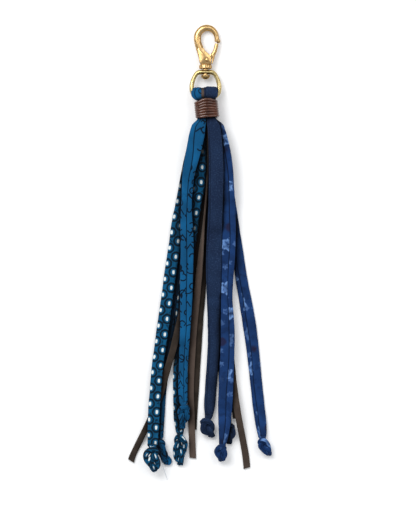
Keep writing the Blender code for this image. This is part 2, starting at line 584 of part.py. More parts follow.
# ---------------------------------------------------------------- ring and hook
# Half of the ring's middle line: (x, y, half thickness in its plane, half depth).
RING_LINE = (
    (0.0, 0.0, WIRE_RADIUS, WIRE_RADIUS), (3.0, 0.0, WIRE_RADIUS, WIRE_RADIUS),
    (5.4, 0.15, WIRE_RADIUS, WIRE_RADIUS), (7.5, 1.3, WIRE_RADIUS, WIRE_RADIUS),
    (8.65, 3.5, WIRE_RADIUS, WIRE_RADIUS), (8.95, 6.4, WIRE_RADIUS, WIRE_RADIUS),
    (8.5, 9.3, 1.4, WIRE_RADIUS), (7.4, 12.4, 1.3, 1.6), (5.9, 14.9, 1.35, 1.9),
    (4.3, 15.9, 1.5, 2.3), (2.2, 16.1, 1.5, 2.6),
)
BOW_LINE = (
    (-2.6, 26.0, 1.9, 1.9), (-3.2, 29.5, 2.3, 2.0), (-3.9, 32.0, 2.35, 2.05),
    (-4.9, 35.2, 2.2, 2.1), (-5.2, 38.2, 2.25, 2.1), (-4.9, 40.6, 2.25, 2.1),
    (-3.5, 42.9, 2.2, 2.1), (-1.4, 44.5, 2.15, 2.1), (1.1, 45.0, 2.1, 2.1),
    (3.6, 44.4, 1.95, 2.0), (5.5, 42.9, 1.75, 1.9), (6.8, 40.7, 1.55, 1.8),
    (7.3, 38.3, 1.42, 1.7), (7.35, 36.9, 1.4, 1.65), (7.3, 35.9, 1.3, 1.55),
)
PLATE_OUTLINE = (
    (-3.6, 20.5), (3.5, 20.5), (3.9, 23.0), (3.8, 25.7), (1.9, 28.0), (-0.3, 29.9),
    (-1.6, 32.5), (-5.4, 32.0), (-4.6, 27.0),
)
# Post, collar and head, turned about the swivel axis: (radius, y).
POST_PROFILE = (
    (0.9, 11.5), (1.9, 11.9), (2.6, 12.7), (2.76, 13.5), (2.76, 14.1), (POST_RADIUS, 14.2),
    (POST_RADIUS, 18.15), (3.75, 18.25), (4.05, 18.6), (4.05, 20.4), (3.6, 20.9),
)
SLOT_OUTLINE = ((-1.5, 21.6), (8.0, 21.6), (8.0, 33.0), (2.0, 33.0), (-1.5, 27.6))
# Gate lever about its pin: (radius, degrees from +X, half width), tongue first.
GATE_LINE = (
    (5.4, 42.0, 1.35), (7.0, 46.5, 1.25), (8.6, 51.0, 1.2), (10.6, 55.8, 1.2), (12.35, 59.3, 1.2),
)
GATE_HALF_DEPTH = 1.5
# Tongue of the gate, in the plate's slot: (radius, half width).
TONGUE_LINE = ((0.0, 1.9), (3.0, 1.5), (6.2, 1.0))
TONGUE_DEGREES = 42.0
KNUCKLE_HALF_DEPTH = 0.53
# Gate pin, turned about its own axis: (radius, height).
PIN_REACH = PLATE_HALF_DEPTH + GAP
PIN_PROFILE = (
    (0.8, -PIN_REACH - 0.6), (1.2, -PIN_REACH - 0.35), (PIN_HEAD_RADIUS, -PIN_REACH),
    (PIN_RADIUS, -PIN_REACH), (PIN_RADIUS, PIN_REACH),
    (PIN_HEAD_RADIUS, PIN_REACH), (1.2, PIN_REACH + 0.35), (0.8, PIN_REACH + 0.6),
)


def superellipse(count, power):
    """Points round a circle that is squarer the smaller the power."""
    rows = []
    for step in range(count):
        angle = 2 * math.pi * step / count
        c, s = math.cos(angle), math.sin(angle)
        rows.append((math.copysign(abs(c) ** power, c), math.copysign(abs(s) ** power, s)))
    return rows


def sweep_flat(line, count, power, closed):
    """Sweep a rounded section along a line that lies in the hook's plane."""
    n = len(line)
    rings = []
    for i, (x, y, half_width, half_depth) in enumerate(line):
        before = line[(i - 1) % n] if closed or i else line[0]
        after = line[(i + 1) % n] if closed or i < n - 1 else line[-1]
        along = Vector((after[0] - before[0], after[1] - before[1], 0)).normalized()
        across = Vector((along.y, -along.x, 0))
        rings.append([Vector((x, y, 0)) + across * (u * half_width) + Vector((0, 0, v * half_depth))
                      for u, v in superellipse(count, power)])
    return loft(rings, closed)


def turned(profile, count):
    """Turn a (radius, y) profile about the Y axis, closed by flat ends."""
    rings = []
    for radius, y in profile:
        rings.append([Vector((radius * math.cos(2 * math.pi * i / count), y,
                              radius * math.sin(2 * math.pi * i / count))) for i in range(count)])
    return loft(rings)


def upright(centre, radius, count, half_depth):
    """A round bar along the hook's Z."""
    rings = []
    for z in (-half_depth, half_depth):
        rings.append([Vector((centre[0] + radius * math.cos(2 * math.pi * i / count),
                              centre[1] + radius * math.sin(2 * math.pi * i / count), z))
                      for i in range(count)])
    return loft(rings)


def slab(outline, half_depth):
    """An outline in the hook's plane with a depth."""
    return loft([[Vector((x, y, z)) for x, y in outline] for z in (-half_depth, half_depth)])


def polar(radius, degrees):
    """A point round the gate's pin."""
    return radius * math.cos(math.radians(degrees)), radius * math.sin(math.radians(degrees))


def solid(name, skin, mat, parent=None):
    """An outward closed body from a skin."""
    return orient(add_object(name, *skin, mat, parent))


def boolean(obj, other, operation):
    """Join another solid to this one, or cut it away."""
    other.hide_render = True
    other.display_type = "WIRE"
    mod = obj.modifiers.new(operation.title() + "_" + other.name, "BOOLEAN")
    mod.operation = operation
    mod.solver = "EXACT"
    mod.object = other


def build_metal():
    """Ring, hook, gate and pin in the pitched frame of the hook."""
    frame = bpy.data.objects.new("hook_frame", None)
    bpy.context.collection.objects.link(frame)
    frame.location = (AXIS_X * MM, RING_BAR_Y * MM, RING_BAR_Z * MM)
    frame.rotation_euler = (-PITCH, 0.0, 0.0)
    gold = material("gold", (0.83, 0.66, 0.32), 0.25, 1.0)

    half = list(RING_LINE)
    line = half + [(-x, y, a, b) for x, y, a, b in reversed(half[1:])]
    ring = solid("ring", sweep_flat(line, 12, 1.0, True), gold, frame)
    bore = solid("cut_bore", turned(((BORE_RADIUS, 12.0), (BORE_RADIUS, 20.0)), 20), None, frame)
    boolean(ring, bore, "DIFFERENCE")

    hook = solid("hook_body", slab(PLATE_OUTLINE, PLATE_HALF_DEPTH), gold, frame)
    bevel = hook.modifiers.new("Edges", "BEVEL")
    bevel.width = PLATE_EDGE * MM
    bevel.segments = 2
    bevel.limit_method = "ANGLE"
    boolean(hook, solid("add_bow", sweep_flat(BOW_LINE, 12, 0.9, False), None, frame), "UNION")
    boolean(hook, solid("add_post", turned(POST_PROFILE, 20), None, frame), "UNION")
    boolean(hook, solid("cut_slot", slab(SLOT_OUTLINE, SLOT_HALF_DEPTH), None, frame), "DIFFERENCE")
    boolean(hook, solid("cut_pin", upright(PIN_AT, PIN_RADIUS + GAP, 16, 4.0), None, frame), "DIFFERENCE")

    hinge = bpy.data.objects.new("gate_frame", None)
    bpy.context.collection.objects.link(hinge)
    hinge.parent = frame
    hinge.location = (PIN_AT[0] * MM, PIN_AT[1] * MM, 0.0)
    lever = []
    for radius, degrees, half_width in GATE_LINE:
        lever.append((*polar(radius, degrees), half_width, GATE_HALF_DEPTH))
    tongue = []
    for radius, half_width in TONGUE_LINE:
        tongue.append((*polar(radius, TONGUE_DEGREES), half_width, TONGUE_HALF_DEPTH))
    gate = solid("gate", sweep_flat(lever, 12, 0.7, False), gold, hinge)
    boolean(gate, solid("add_tongue", sweep_flat(tongue, 8, 0.3, False), None, hinge), "UNION")
    knuckle = upright((0.0, 0.0), TONGUE_LINE[0][1], 16, KNUCKLE_HALF_DEPTH)
    boolean(gate, solid("add_knuckle", knuckle, None, hinge), "UNION")
    hole = upright((0.0, 0.0), PIN_RADIUS + GAP, 16, 3.0)
    boolean(gate, solid("cut_hole", hole, None, hinge), "DIFFERENCE")

    pin = solid("gate_pin", turned(PIN_PROFILE, 14), gold, hinge)
    pin.rotation_euler = (math.pi / 2, 0.0, 0.0)


def main():
    clear_scene()
    strands = lay_strands()
    for piece in PIECES:
        build_folded(piece, strands)
    build_wrap()
    build_metal()


main()
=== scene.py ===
"""The look of a bag tassel: four knotted fabric tubes and three leather laces folded over a gold ring,
bound by a wound leather cord, on a swivel snap hook.

The tassel lies on Z = 0 and is seen from above, +Y towards the hook. Tables are in millimetres.
"""
import math

import bmesh
import bpy
import numpy as np
from mathutils import Matrix, Vector


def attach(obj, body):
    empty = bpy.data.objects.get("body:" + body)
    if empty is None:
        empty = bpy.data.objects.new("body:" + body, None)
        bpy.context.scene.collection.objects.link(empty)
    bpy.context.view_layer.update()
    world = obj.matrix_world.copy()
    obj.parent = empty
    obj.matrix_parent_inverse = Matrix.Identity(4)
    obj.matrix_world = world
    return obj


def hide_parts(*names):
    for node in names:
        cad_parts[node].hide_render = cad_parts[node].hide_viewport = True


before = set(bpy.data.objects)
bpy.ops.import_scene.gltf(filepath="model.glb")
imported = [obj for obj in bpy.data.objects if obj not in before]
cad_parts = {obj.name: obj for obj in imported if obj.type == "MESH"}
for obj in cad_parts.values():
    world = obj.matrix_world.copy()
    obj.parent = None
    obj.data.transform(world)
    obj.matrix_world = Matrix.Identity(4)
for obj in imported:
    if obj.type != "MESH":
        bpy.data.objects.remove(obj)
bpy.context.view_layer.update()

MM = 0.001
TURN = 2 * math.pi
GAP = 0.3                 # between neighbouring pieces
STACK_GAP = 0.45          # between strands that lie on each other

# ---- ring and hook, in a frame whose origin is the middle of the ring's lower bar ----
AXIS_X = 3.8              # swivel axis
RING_BAR_Y = 97.7         # lower bar of the ring, along Y
RING_BAR_Z = 6.3          # and above the surface: the folded layers pass under it
HOOK_LENGTH = 47.1        # lower bar to the tip of the bow
HOOK_HALF_DEPTH = 2.1
WIRE_RADIUS = 1.45
PITCH = math.asin((RING_BAR_Z - HOOK_HALF_DEPTH) / HOOK_LENGTH)   # the bow's tip rests on the surface

POST_RADIUS = 1.45
PIN_AT = (1.0, 24.0)      # gate pin, in the hook's frame
PLATE_HALF_DEPTH = 2.0
SLOT_HALF_DEPTH = 0.85
TONGUE_HALF_DEPTH = 0.55

# ---- cloth and leather ----
TUBE_THICK = 1.9          # a pressed fabric tube
LACE_WIDTH = 4.1
LACE_THICK = 1.2
CORD = 1.75               # round cord of the wrap
WRAP_TURNS = 7
WRAP_X = 4.55
WRAP_Z = 7.3
WRAP_HALF = (6.1, 5.55)   # inside half width and half height
WRAP_CORNER = 1.6
WRAP_TOP = (94.2, 0.1)    # upper edge of the turns along Y, and how it runs down to the left
WRAP_BOTTOM = (84.2, 0.12)    # and the lower edge
WRAP_ARCH = (2.45, 0.081, -0.0456)    # the upper edge bows up over the front: powers of x from WRAP_X
EXIT_Y = 84.0             # the strands leave the wrap here
ENTRY_Y = 96.4            # and enter it here, the front layers
BACK_ENTRY_Y = 94.2       # and the back ones
WRAP_INSIDE_Y = 90.0      # halfway up in the wrap

# Strands below the wrap: (y, left edge, right edge). Knots: (y, left edge, right edge, thickness).
BODY = {
    "TEAL_FRONT": (
        (83.4, -2, 3.9), (80.1, -4.6, 4.1), (75.6, -6.3, 3.8), (69.7, -7.4, 2.5), (65.2, -8.2, 1.5),
        (60, -9, 0.1), (54.8, -9.9, -1.3), (49.6, -10.8, -3), (43.7, -11.3, -4.1), (30.7, -11.5, -5.2),
        (21, -12.1, -5.3), (11.2, -12.4, -4.3), (-1.8, -12.1, -4.1), (-21.3, -12.6, -4.6), (-34.3, -12.4, -5),
        (-50.5, -12.4, -5.9), (-66.8, -13, -7.3), (-83, -13.6, -8), (-96, -13.7, -8.2), (-101.2, -12.6, -8),
    ),
    "TEAL_BACK": (
        (83.4, -1.1, 3.5), (76.2, -3.7, 2.8), (63.2, -7.2, 0.2), (47, -10.2, -2.4), (30.7, -13.4, -5.9),
        (4.7, -16.3, -8.9), (-14.8, -18.3, -10.8), (-34.3, -20.9, -13.4), (-53.8, -23.2, -15.8),
        (-73.3, -26.1, -18.9), (-92.8, -29, -21.9), (-109, -30.6, -22.8), (-118.8, -31, -23.5),
        (-124, -30.3, -23.8),
    ),
    "DOTS_FRONT": (
        (83.4, -1, 3.9), (76.2, -2, 4.2), (66.5, -2.4, 4.2), (54.1, -2.8, 4.2), (42.4, -4, 3.4),
        (32, -5.9, 0.9), (22.9, -7.4, -0.6), (13.2, -8.9, -1.9), (-1.8, -10.6, -3.6), (-18, -12.4, -5.1),
        (-34.3, -14.4, -7.1), (-50.5, -16, -8.7), (-66.8, -16.3, -9.6), (-83, -17.3, -9.8),
        (-99.3, -17, -9.5), (-112.3, -16.7, -9.3), (-120.1, -15, -10.5),
    ),
    "DOTS_BACK": (
        (83.4, -2, 3.5), (76.2, -5.3, 2.2), (63.2, -8.5, -1.1), (53.5, -10.8, -3.3), (43.7, -12.8, -5.5),
        (30.7, -15, -7.7), (14.5, -18.3, -10.8), (1.5, -19.9, -12.4), (-14.8, -22.5, -15),
        (-34.3, -25, -17.8), (-47.3, -26.9, -19.5), (-63.5, -29.2, -21.9), (-79.8, -31.2, -24.1),
        (-92.8, -32.3, -25.1), (-105.8, -33.2, -26), (-118.8, -33.6, -26.6), (-128.5, -33.6, -27.4),
    ),
    "NAVY_FRONT": (
        (83.4, 4.5, 12.3), (78.5, 5.2, 13.2), (73.5, 5.7, 13.9), (66.5, 6.1, 14.5), (53.5, 6.2, 15.4),
        (40.5, 6.2, 15.2), (27.5, 6, 14.7), (14.5, 5.3, 14.5), (1.5, 4.6, 14.3), (-14.8, 4.3, 13.9),
        (-34.3, 4.8, 13.4), (-47.3, 5.4, 13.2), (-60.3, 5.6, 13.1), (-73.3, 5, 12.2), (-86.3, 4.1, 11.3),
        (-99.3, 3.2, 10.1), (-105.8, 3, 9.6), (-110.3, 3.7, 7.9),
    ),
    "NAVY_BACK": (
        (83.4, 6.2, 10.8), (73, 6.9, 13), (56.7, 7.6, 14.4), (30.7, 7.8, 15.2), (4.7, 8.4, 15.8),
        (-21.3, 9.5, 17), (-47.3, 10.6, 17.9), (-73.3, 11.9, 19.1), (-92.8, 12.9, 19.9), (-107.1, 13.9, 20.6),
        (-113.6, 16.2, 20.4),
    ),
    "FLOWER_FRONT": (
        (83.4, 6.8, 13.2), (77.5, 8.2, 16.2), (73.6, 9.2, 17.4), (65.8, 10.5, 19.2), (59.3, 11.5, 20.5),
        (51.5, 12.5, 21.5), (43.7, 13.2, 21.9), (30.7, 14.2, 22.7), (11.2, 15.1, 23.4), (-8.3, 14.7, 22.7),
        (-21.3, 14.4, 21.6), (-34.3, 14.1, 21), (-47.3, 14, 22.3), (-60.3, 14, 22.7), (-73.3, 13.4, 22.2),
        (-86.3, 12.8, 21.7), (-99.3, 12.1, 21.3), (-112.3, 12.4, 20.2), (-122, 12.4, 18.7),
        (-127.2, 13, 16.7),
    ),
    "FLOWER_BACK": (
        (83.4, 6.2, 11.4), (73, 7.4, 14.5), (56.7, 10.3, 17.8), (40.5, 13.6, 21), (27.5, 15.8, 23.5),
        (17.7, 17.5, 24.9), (4.7, 19.5, 26.9), (-8.3, 21.7, 29), (-21.3, 23.6, 30.9), (-34.3, 25.7, 33.6),
        (-47.3, 27.8, 36), (-60.3, 29.8, 37.7), (-73.3, 31.5, 39), (-86.3, 32.9, 40.3), (-99.3, 34.3, 41.6),
        (-112.3, 36, 43.1), (-118.8, 37.1, 43.4), (-123.3, 38.8, 42.9),
    ),
    "LACE_MIDDLE_FRONT": (
        (83.4, 5.1), (76, 5.4), (60, 5.5), (50, 5.3), (43.7, 5), (37, 4.6), (26, 3.7), (16.4, 2.8),
        (4.7, 1.7), (-7, 0.6), (-17, -0.3), (-28.4, -1.4), (-47.3, -3.4), (-60.3, -4.4), (-73.3, -5.2),
        (-86.3, -5.8), (-99.3, -5.9), (-112.3, -5.4), (-125.3, -4.9), (-137, -4.4),
    ),
    "LACE_MIDDLE_BACK": (
        (83.4, 5.1), (76, 4.7), (69.7, 4.45), (43.7, 4.3), (17.7, 3.9), (-1.8, 3.6), (-18, 2.7), (-34.3, 1.3),
        (-47.3, 0.2), (-60.3, -0.6), (-73.3, -1.4), (-86.3, -2.3), (-99.3, -3), (-111, -3.7), (-118.8, -4.2),
    ),
    "LACE_LEFT_FRONT": (
        (83.4, 1.2), (76, -0.6), (69.7, -2.3), (60, -4.4), (54.8, -5.5), (43.7, -7.3), (30.7, -8),
        (11.2, -8.3), (-8, -8.4), (-21.3, -8.8), (-34.3, -10), (-45.3, -12.1), (-53.8, -14.2), (-66.8, -17.3),
        (-79.8, -21.1), (-92.8, -24.7), (-104.5, -28.7), (-115.5, -33.9), (-125.3, -38.6), (-131.8, -41.9),
        (-138.9, -45.1),
    ),
    "LACE_LEFT_BACK": (
        (83.4, 1), (76, -0.2), (69.7, -0.6), (54.1, -0.5), (43.7, -0.25), (17.7, -0.65), (-1.8, -1.5),
        (-18, -2.8), (-34.3, -4.6), (-47.3, -6.4), (-66.8, -9.6), (-81, -12), (-96, -13.2),
    ),
    "LACE_RIGHT_FRONT": (
        (83.4, 8.4), (69.7, 9), (43.7, 11), (17.7, 12.9), (-8.3, 14.5), (-34.3, 16.6), (-60.3, 19.3),
        (-86.3, 21.7), (-99.3, 23.4), (-112.3, 25.6), (-125.3, 28.1), (-135, 29.9), (-143.5, 30.8),
    ),
    "LACE_RIGHT_BACK": (
        (83.4, 8.5), (69.7, 9), (43.7, 10.6), (17.7, 12.3), (-8.3, 13.9), (-34.3, 15.8), (-60.3, 18.1),
        (-86.3, 20.6), (-102.5, 22.6), (-111.6, 23.8),
    ),
}
KNOTS = {
    "TEAL_FRONT": (
        (-103.8, -13.6, -6.6, 5), (-106.4, -14.3, -5.9, 6.6), (-109.7, -14.1, -6.4, 6.4),
        (-112.3, -12.8, -8.5, 4.5), (-115.5, -12.4, -9.8, 2.2), (-117.8, -12.1, -10.2, 1.4),
    ),
    "TEAL_BACK": (
        (-125.9, -30, -23.7, 2.4), (-129.2, -29, -22.8, 5), (-133.1, -28, -21.5, 5.5),
        (-136.3, -26.4, -19.3, 3.5), (-138.9, -23.8, -18.8, 2), (-141.4, -22.5, -20.3, 1.6),
    ),
    "DOTS_FRONT": (
        (-124.6, -14.7, -8.7, 3), (-127.2, -17, -7.9, 6.5), (-131.1, -17.5, -7.8, 7.5),
        (-135, -17, -8.7, 6.5), (-138, -16.3, -10.2, 3.5), (-141.3, -14.1, -11.3, 1.6),
    ),
    "DOTS_BACK": (
        (-132.8, -35.8, -26.7, 5.5), (-136.3, -36.7, -26.3, 7.5), (-140.2, -34.9, -26.2, 7.5),
        (-143.2, -32.6, -26.4, 5.5), (-144.9, -30.6, -28, 3),
    ),
    "NAVY_FRONT": (
        (-112.3, 0.6, 8.7, 5.5), (-114.9, -0.3, 9.7, 7.5), (-118.1, 0.7, 9.8, 7.5), (-120.7, 3.3, 9.8, 5.5),
        (-122.4, 6.1, 9.5, 3),
    ),
    "NAVY_BACK": (
        (-117.2, 16.2, 23, 5), (-120.1, 16.5, 23.6, 5.6), (-123.3, 17.1, 23, 4.8), (-125.9, 18.1, 20.5, 2.5),
        (-127.9, 18.1, 20.1, 1.5),
    ),
    "FLOWER_FRONT": (
        (-128.5, 12.6, 16.7, 2.6), (-130.8, 10, 17.5, 6), (-134.1, 9.3, 17.8, 7.2), (-136.7, 10.6, 17.1, 5.5),
        (-138, 12.6, 16.5, 3),
    ),
    "FLOWER_BACK": (
        (-125.9, 37.7, 45.1, 5.5), (-128.9, 37.7, 45.7, 7), (-131.5, 39.6, 47.4, 6.5),
        (-133.4, 42.5, 47.2, 4.5), (-134.5, 43.5, 46.4, 2.5),
    ),
}

# Cells of the strands inside the wrap: (centre x from WRAP_X, bottom z, width, thickness).
# From the surface upwards each side holds back ends first and front ends last.
CELLS = {
    "TEAL_BACK": (-3.2, 2.05, 4.4, 1.6), "LACE_LEFT_BACK": (-3.4, 3.95, 4.1, 1.2),
    "DOTS_BACK": (-3.35, 5.45, 4.8, 1.65), "DOTS_FRONT": (-3.35, 7.4, 4.8, 1.65),
    "LACE_LEFT_FRONT": (-3.4, 9.35, 4.1, 1.2), "TEAL_FRONT": (-2.8, 10.85, 5.2, 1.7),
    "NAVY_BACK": (3.2, 2.05, 4.4, 1.6), "FLOWER_BACK": (3.35, 3.95, 4.8, 1.65),
    "LACE_RIGHT_BACK": (3.4, 5.9, 4.1, 1.2), "LACE_RIGHT_FRONT": (3.4, 7.4, 4.1, 1.2),
    "FLOWER_FRONT": (3.35, 8.9, 4.8, 1.65), "NAVY_FRONT": (2.8, 10.85, 5.2, 1.7),
    "LACE_MIDDLE_BACK": (0, 2.05, 1.2, 4.1), "LACE_MIDDLE_FRONT": (0, 6.45, 1.2, 4.1),
}
# Front ends that come into the wrap's mouth askew: (y, centre x from WRAP_X, bottom z, width, thickness).
MOUTH = {
    "LACE_MIDDLE_FRONT": (96.4, -1.45, 7.45, 1.2, 3.1), "TEAL_FRONT": (95.9, -5.02, 10.85, 5.85, 1.7),
    "DOTS_FRONT": (96.4, -4.45, 7.4, 4.1, 1.65), "LACE_LEFT_FRONT": (96.4, -4.45, 9.35, 4.1, 1.2),
}

# Folds over the ring's lower bar: (left edge, right edge, inner radius, thickness) round the bar.
FOLDS = {
    "fabric_dots": (-2, 1.1, 1.95, 1.3), "lace_left": (-2.6, 1.1, 3.55, 1.1),
    "fabric_teal": (-3.3, 1.05, 4.95, 1.3), "lace_middle": (1.45, 2.65, 1.95, 4),
    "lace_right": (4.6, 8.5, 1.95, 1.1), "fabric_flower": (4.4, 10.2, 3.35, 1.3),
    "fabric_navy": (3, 10.8, 4.95, 1.3),
}
# How far the outer folds spread past their left and right edges as they come forward.
FOLD_SPREAD = {"fabric_teal": (2.0, 0.0), "fabric_navy": (0.0, 0.9), "fabric_flower": (0.0, 1.2)}
FOLD_REACH = {"fabric_navy": 0.5}         # how far a loop stands off past its round, along Y

# Each folded piece: front end, back end, and where the seam lies across the width of each end, from -1 at
# one edge to 1 at the other.
PIECES = {
    "fabric_teal": ("TEAL_FRONT", "TEAL_BACK", (0.3, 0.2)),
    "fabric_dots": ("DOTS_FRONT", "DOTS_BACK", (0.25, 0.4)),
    "fabric_navy": ("NAVY_FRONT", "NAVY_BACK", (-0.7, 0.3)),
    "fabric_flower": ("FLOWER_FRONT", "FLOWER_BACK", (0.15, -0.35)),
    "lace_middle": ("LACE_MIDDLE_FRONT", "LACE_MIDDLE_BACK", None),
    "lace_left": ("LACE_LEFT_FRONT", "LACE_LEFT_BACK", None),
    "lace_right": ("LACE_RIGHT_FRONT", "LACE_RIGHT_BACK", None),
}

# What lies on what below the wrap, from the surface upwards.
LAYERS = (
    "TEAL_BACK", "NAVY_BACK", "LACE_LEFT_BACK", "LACE_MIDDLE_BACK", "FLOWER_BACK", "DOTS_FRONT",
    "LACE_RIGHT_BACK", "LACE_LEFT_FRONT", "LACE_RIGHT_FRONT", "DOTS_BACK", "LACE_MIDDLE_FRONT",
    "FLOWER_FRONT", "TEAL_FRONT", "NAVY_FRONT",
)
DOTS_CROSS_Y = 0.0        # above this line the dotted back end is still under the front one
LACE_TURN = {"LACE_MIDDLE_FRONT": (25.0, -40.0), "LACE_MIDDLE_BACK": (84.0, 40.0)}   # on edge, then flat

GRID_STEP = 1.5
GRID = np.arange(EXIT_Y, -147.0, -GRID_STEP)      # stations along the hanging ends
EDGE_RELAX = 6.0          # the edges of a strand are rounded off over this length
LIFT_LENGTH = 46.0        # a strand comes down to the surface over this length
DRAPE = 16.0              # a strand rides up to what it crosses over this length
NECK_LENGTH = 9.0         # a strand narrows into its knot over this length
NECK_LIFT = 1.3           # and rises this far
CELL_LENGTH = 6.0         # a strand keeps the shape of its cell in the wrap for this length
SIDE_CLEAR = 0.35         # strands further apart than this lie side by side
STACK_PASSES = 5


def smooth(t):
    """Ease from 0 to 1."""
    t = np.clip(t, 0.0, 1.0)
    return t * t * (3.0 - 2.0 * t)


def mix(a, b, t):
    return a + (b - a) * t


def unit(v):
    return v / np.maximum(np.linalg.norm(v, axis=-1, keepdims=True), 1e-9)


def circle(count):
    return np.arange(count) * TURN / count


def run_of(points):
    """How far along the line each of its points lies."""
    return np.concatenate([[0.0], np.cumsum(np.linalg.norm(np.diff(points, axis=0), axis=1))])


def relax(values, reach):
    """Round off the corners of a profile on GRID."""
    n = max(1, int(round(reach / GRID_STEP)))
    kernel = np.hanning(2 * n + 3)[1:-1]
    padded = np.pad(values, n, mode="reflect", reflect_type="odd")
    return np.convolve(padded, kernel / kernel.sum(), mode="valid")


class Strand:
    """One end of a folded piece: its middle, width, thickness, roll and height on GRID."""

    def __init__(self, name):
        self.name, self.knot = name, np.array(KNOTS.get(name, ()), float)
        body = np.array(BODY[name], float)
        self.lace = body.shape[1] == 2
        if self.lace:
            half = LACE_WIDTH / 2
            body = np.column_stack([body[:, 0], body[:, 1] - half, body[:, 1] + half])
        self.body_end = body[-1, 0]
        centre, width = [relax(np.interp(-GRID, -body[:, 0], values), EDGE_RELAX)
                         for values in (body[:, 1:3].mean(axis=1), body[:, 2] - body[:, 1])]
        thick, lift = np.full(len(GRID), LACE_THICK if self.lace else TUBE_THICK), 0.0
        if len(self.knot):
            rows = np.vstack([[*body[-1], TUBE_THICK], self.knot])
            inside = GRID < self.body_end
            for values, shape in ((centre, rows[:, 1:3].mean(axis=1)), (width, rows[:, 2] - rows[:, 1]),
                                  (thick, rows[:, 3])):
                values[inside] = np.interp(-GRID[inside], -rows[:, 0], shape)
            lift = NECK_LIFT * smooth(1.0 - (GRID - self.body_end) / NECK_LENGTH) * ~inside
        self.roll = np.zeros(len(GRID))
        if name in LACE_TURN:
            start, stop = LACE_TURN[name]
            self.roll = (math.pi / 2) * (1.0 - smooth((start - GRID) / (start - stop)))
        # Out of the wrap's cell over the first few millimetres.
        cx, self.cell_z, cw, ct = CELLS[name]
        self.out = smooth((EXIT_Y - GRID) / CELL_LENGTH)
        self.x = mix(WRAP_X + cx, centre, self.out)
        self.w, self.t = [values if name in LACE_TURN else mix(in_cell, values, self.out)
                          for in_cell, values in ((cw, width), (ct, thick))]
        self.span = np.abs(self.w * np.cos(self.roll)) + np.abs(self.t * np.sin(self.roll))
        self.height = np.abs(self.w * np.sin(self.roll)) + np.abs(self.t * np.cos(self.roll))
        self.base = np.maximum(self.cell_z * smooth(1.0 - (EXIT_Y - GRID) / LIFT_LENGTH), lift)
        self.z = self.base.copy()
        self.there = GRID >= (self.knot[-1, 0] if len(self.knot) else self.body_end) - 1.0
        self.rank = np.full(len(GRID), float(LAYERS.index(name)))
        if name == "DOTS_BACK":
            self.rank[GRID > DOTS_CROSS_Y] = LAYERS.index("DOTS_FRONT") - 0.5

    def at(self, field, y):
        return float(np.interp(-y, -GRID, getattr(self, field)))


def lay_strands():
    """All hanging ends by name, each at the height at which it lies on those under it."""
    strands = [Strand(name) for name in LAYERS]
    apart = np.abs(GRID[:, None] - GRID[None, :])
    fall = smooth(1.0 - np.maximum(apart - GRID_STEP, 0.0) / DRAPE)
    for _ in range(STACK_PASSES):
        for s in strands:
            need = s.base.copy()
            for other in strands:
                overlap = np.abs(s.x - other.x) < (s.span + other.span) / 2 + SIDE_CLEAR
                under = overlap & other.there & s.there & (other.rank < s.rank)
                need = np.where(under, np.maximum(need, other.z + other.height + STACK_GAP), need)
            s.z = mix(s.cell_z, (need[None, :] * fall).max(axis=1), s.out)
    return {s.name: s for s in strands}


# ---------------------------------------------------------------- curves and noise
def spline(points, spacing):
    """A smooth curve through rows of x, y, z and any further columns, at even spacing."""
    pts = np.asarray(points, float)
    pts = np.vstack([2 * pts[0] - pts[1], pts, 2 * pts[-1] - pts[-2]])
    out = []
    for p0, p1, p2, p3 in zip(pts, pts[1:], pts[2:], pts[3:]):
        n = max(2, int(np.linalg.norm((p2 - p1)[:3]) / (spacing / 6)))
        t = np.linspace(0.0, 1.0, n, endpoint=False)[:, None]
        out.append(0.5 * (2 * p1 + (p2 - p0) * t + (2 * p0 - 5 * p1 + 4 * p2 - p3) * t ** 2
                          + (3 * p1 - p0 - 3 * p2 + p3) * t ** 3))
    rows = np.vstack(out + [pts[-2:-1]])
    along = run_of(rows[:, :3])
    at = np.linspace(0.0, along[-1], max(2, int(round(along[-1] / spacing)) + 1))
    return np.column_stack([np.interp(at, along, column) for column in rows.T])


class Field:
    """Smooth repeatable noise between -1 and 1 over two coordinates."""

    def __init__(self, seed):
        self.grid = np.random.RandomState(seed).uniform(-1.0, 1.0, (64, 64))

    def __call__(self, a, b):
        a, b = np.broadcast_arrays(np.asarray(a, float), np.asarray(b, float))
        i, j = np.floor(a).astype(int), np.floor(b).astype(int)
        u, v = smooth(a - i), smooth(b - j)
        near, far = [mix(self.grid[i % 64, k % 64], self.grid[(i + 1) % 64, k % 64], u) for k in (j, j + 1)]
        return mix(near, far, v)


# ---------------------------------------------------------------- mesh helpers
def finish_mesh(name, verts, faces, mats, body, slot_name=None, nodes=(), uvs=(), sharp=None):
    """A smooth piece from points in millimetres that rides on a body and stands for CAD nodes."""
    mesh = bpy.data.meshes.new(name)
    mesh.from_pydata((np.asarray(verts) * MM).tolist(), [], faces)
    for layer, values in uvs:
        mesh.uv_layers.new(name=layer).data.foreach_set("uv", np.asarray(values, np.float32).ravel())
    for mat in mats:
        mesh.materials.append(mat)
    mesh.validate()
    mesh.shade_smooth()
    if sharp:
        mesh.set_sharp_from_angle(angle=math.radians(sharp))
    if len(faces) > 1:                      # turn the faces of a closed shape outward
        bm = bmesh.new()
        bm.from_mesh(mesh)
        bmesh.ops.recalc_face_normals(bm, faces=bm.faces)
        bm.to_mesh(mesh)
        bm.free()
    obj = bpy.data.objects.new(name, mesh)
    bpy.context.scene.collection.objects.link(obj)
    if body:
        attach(obj, body)
    if nodes:
        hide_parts(*nodes)
    return obj


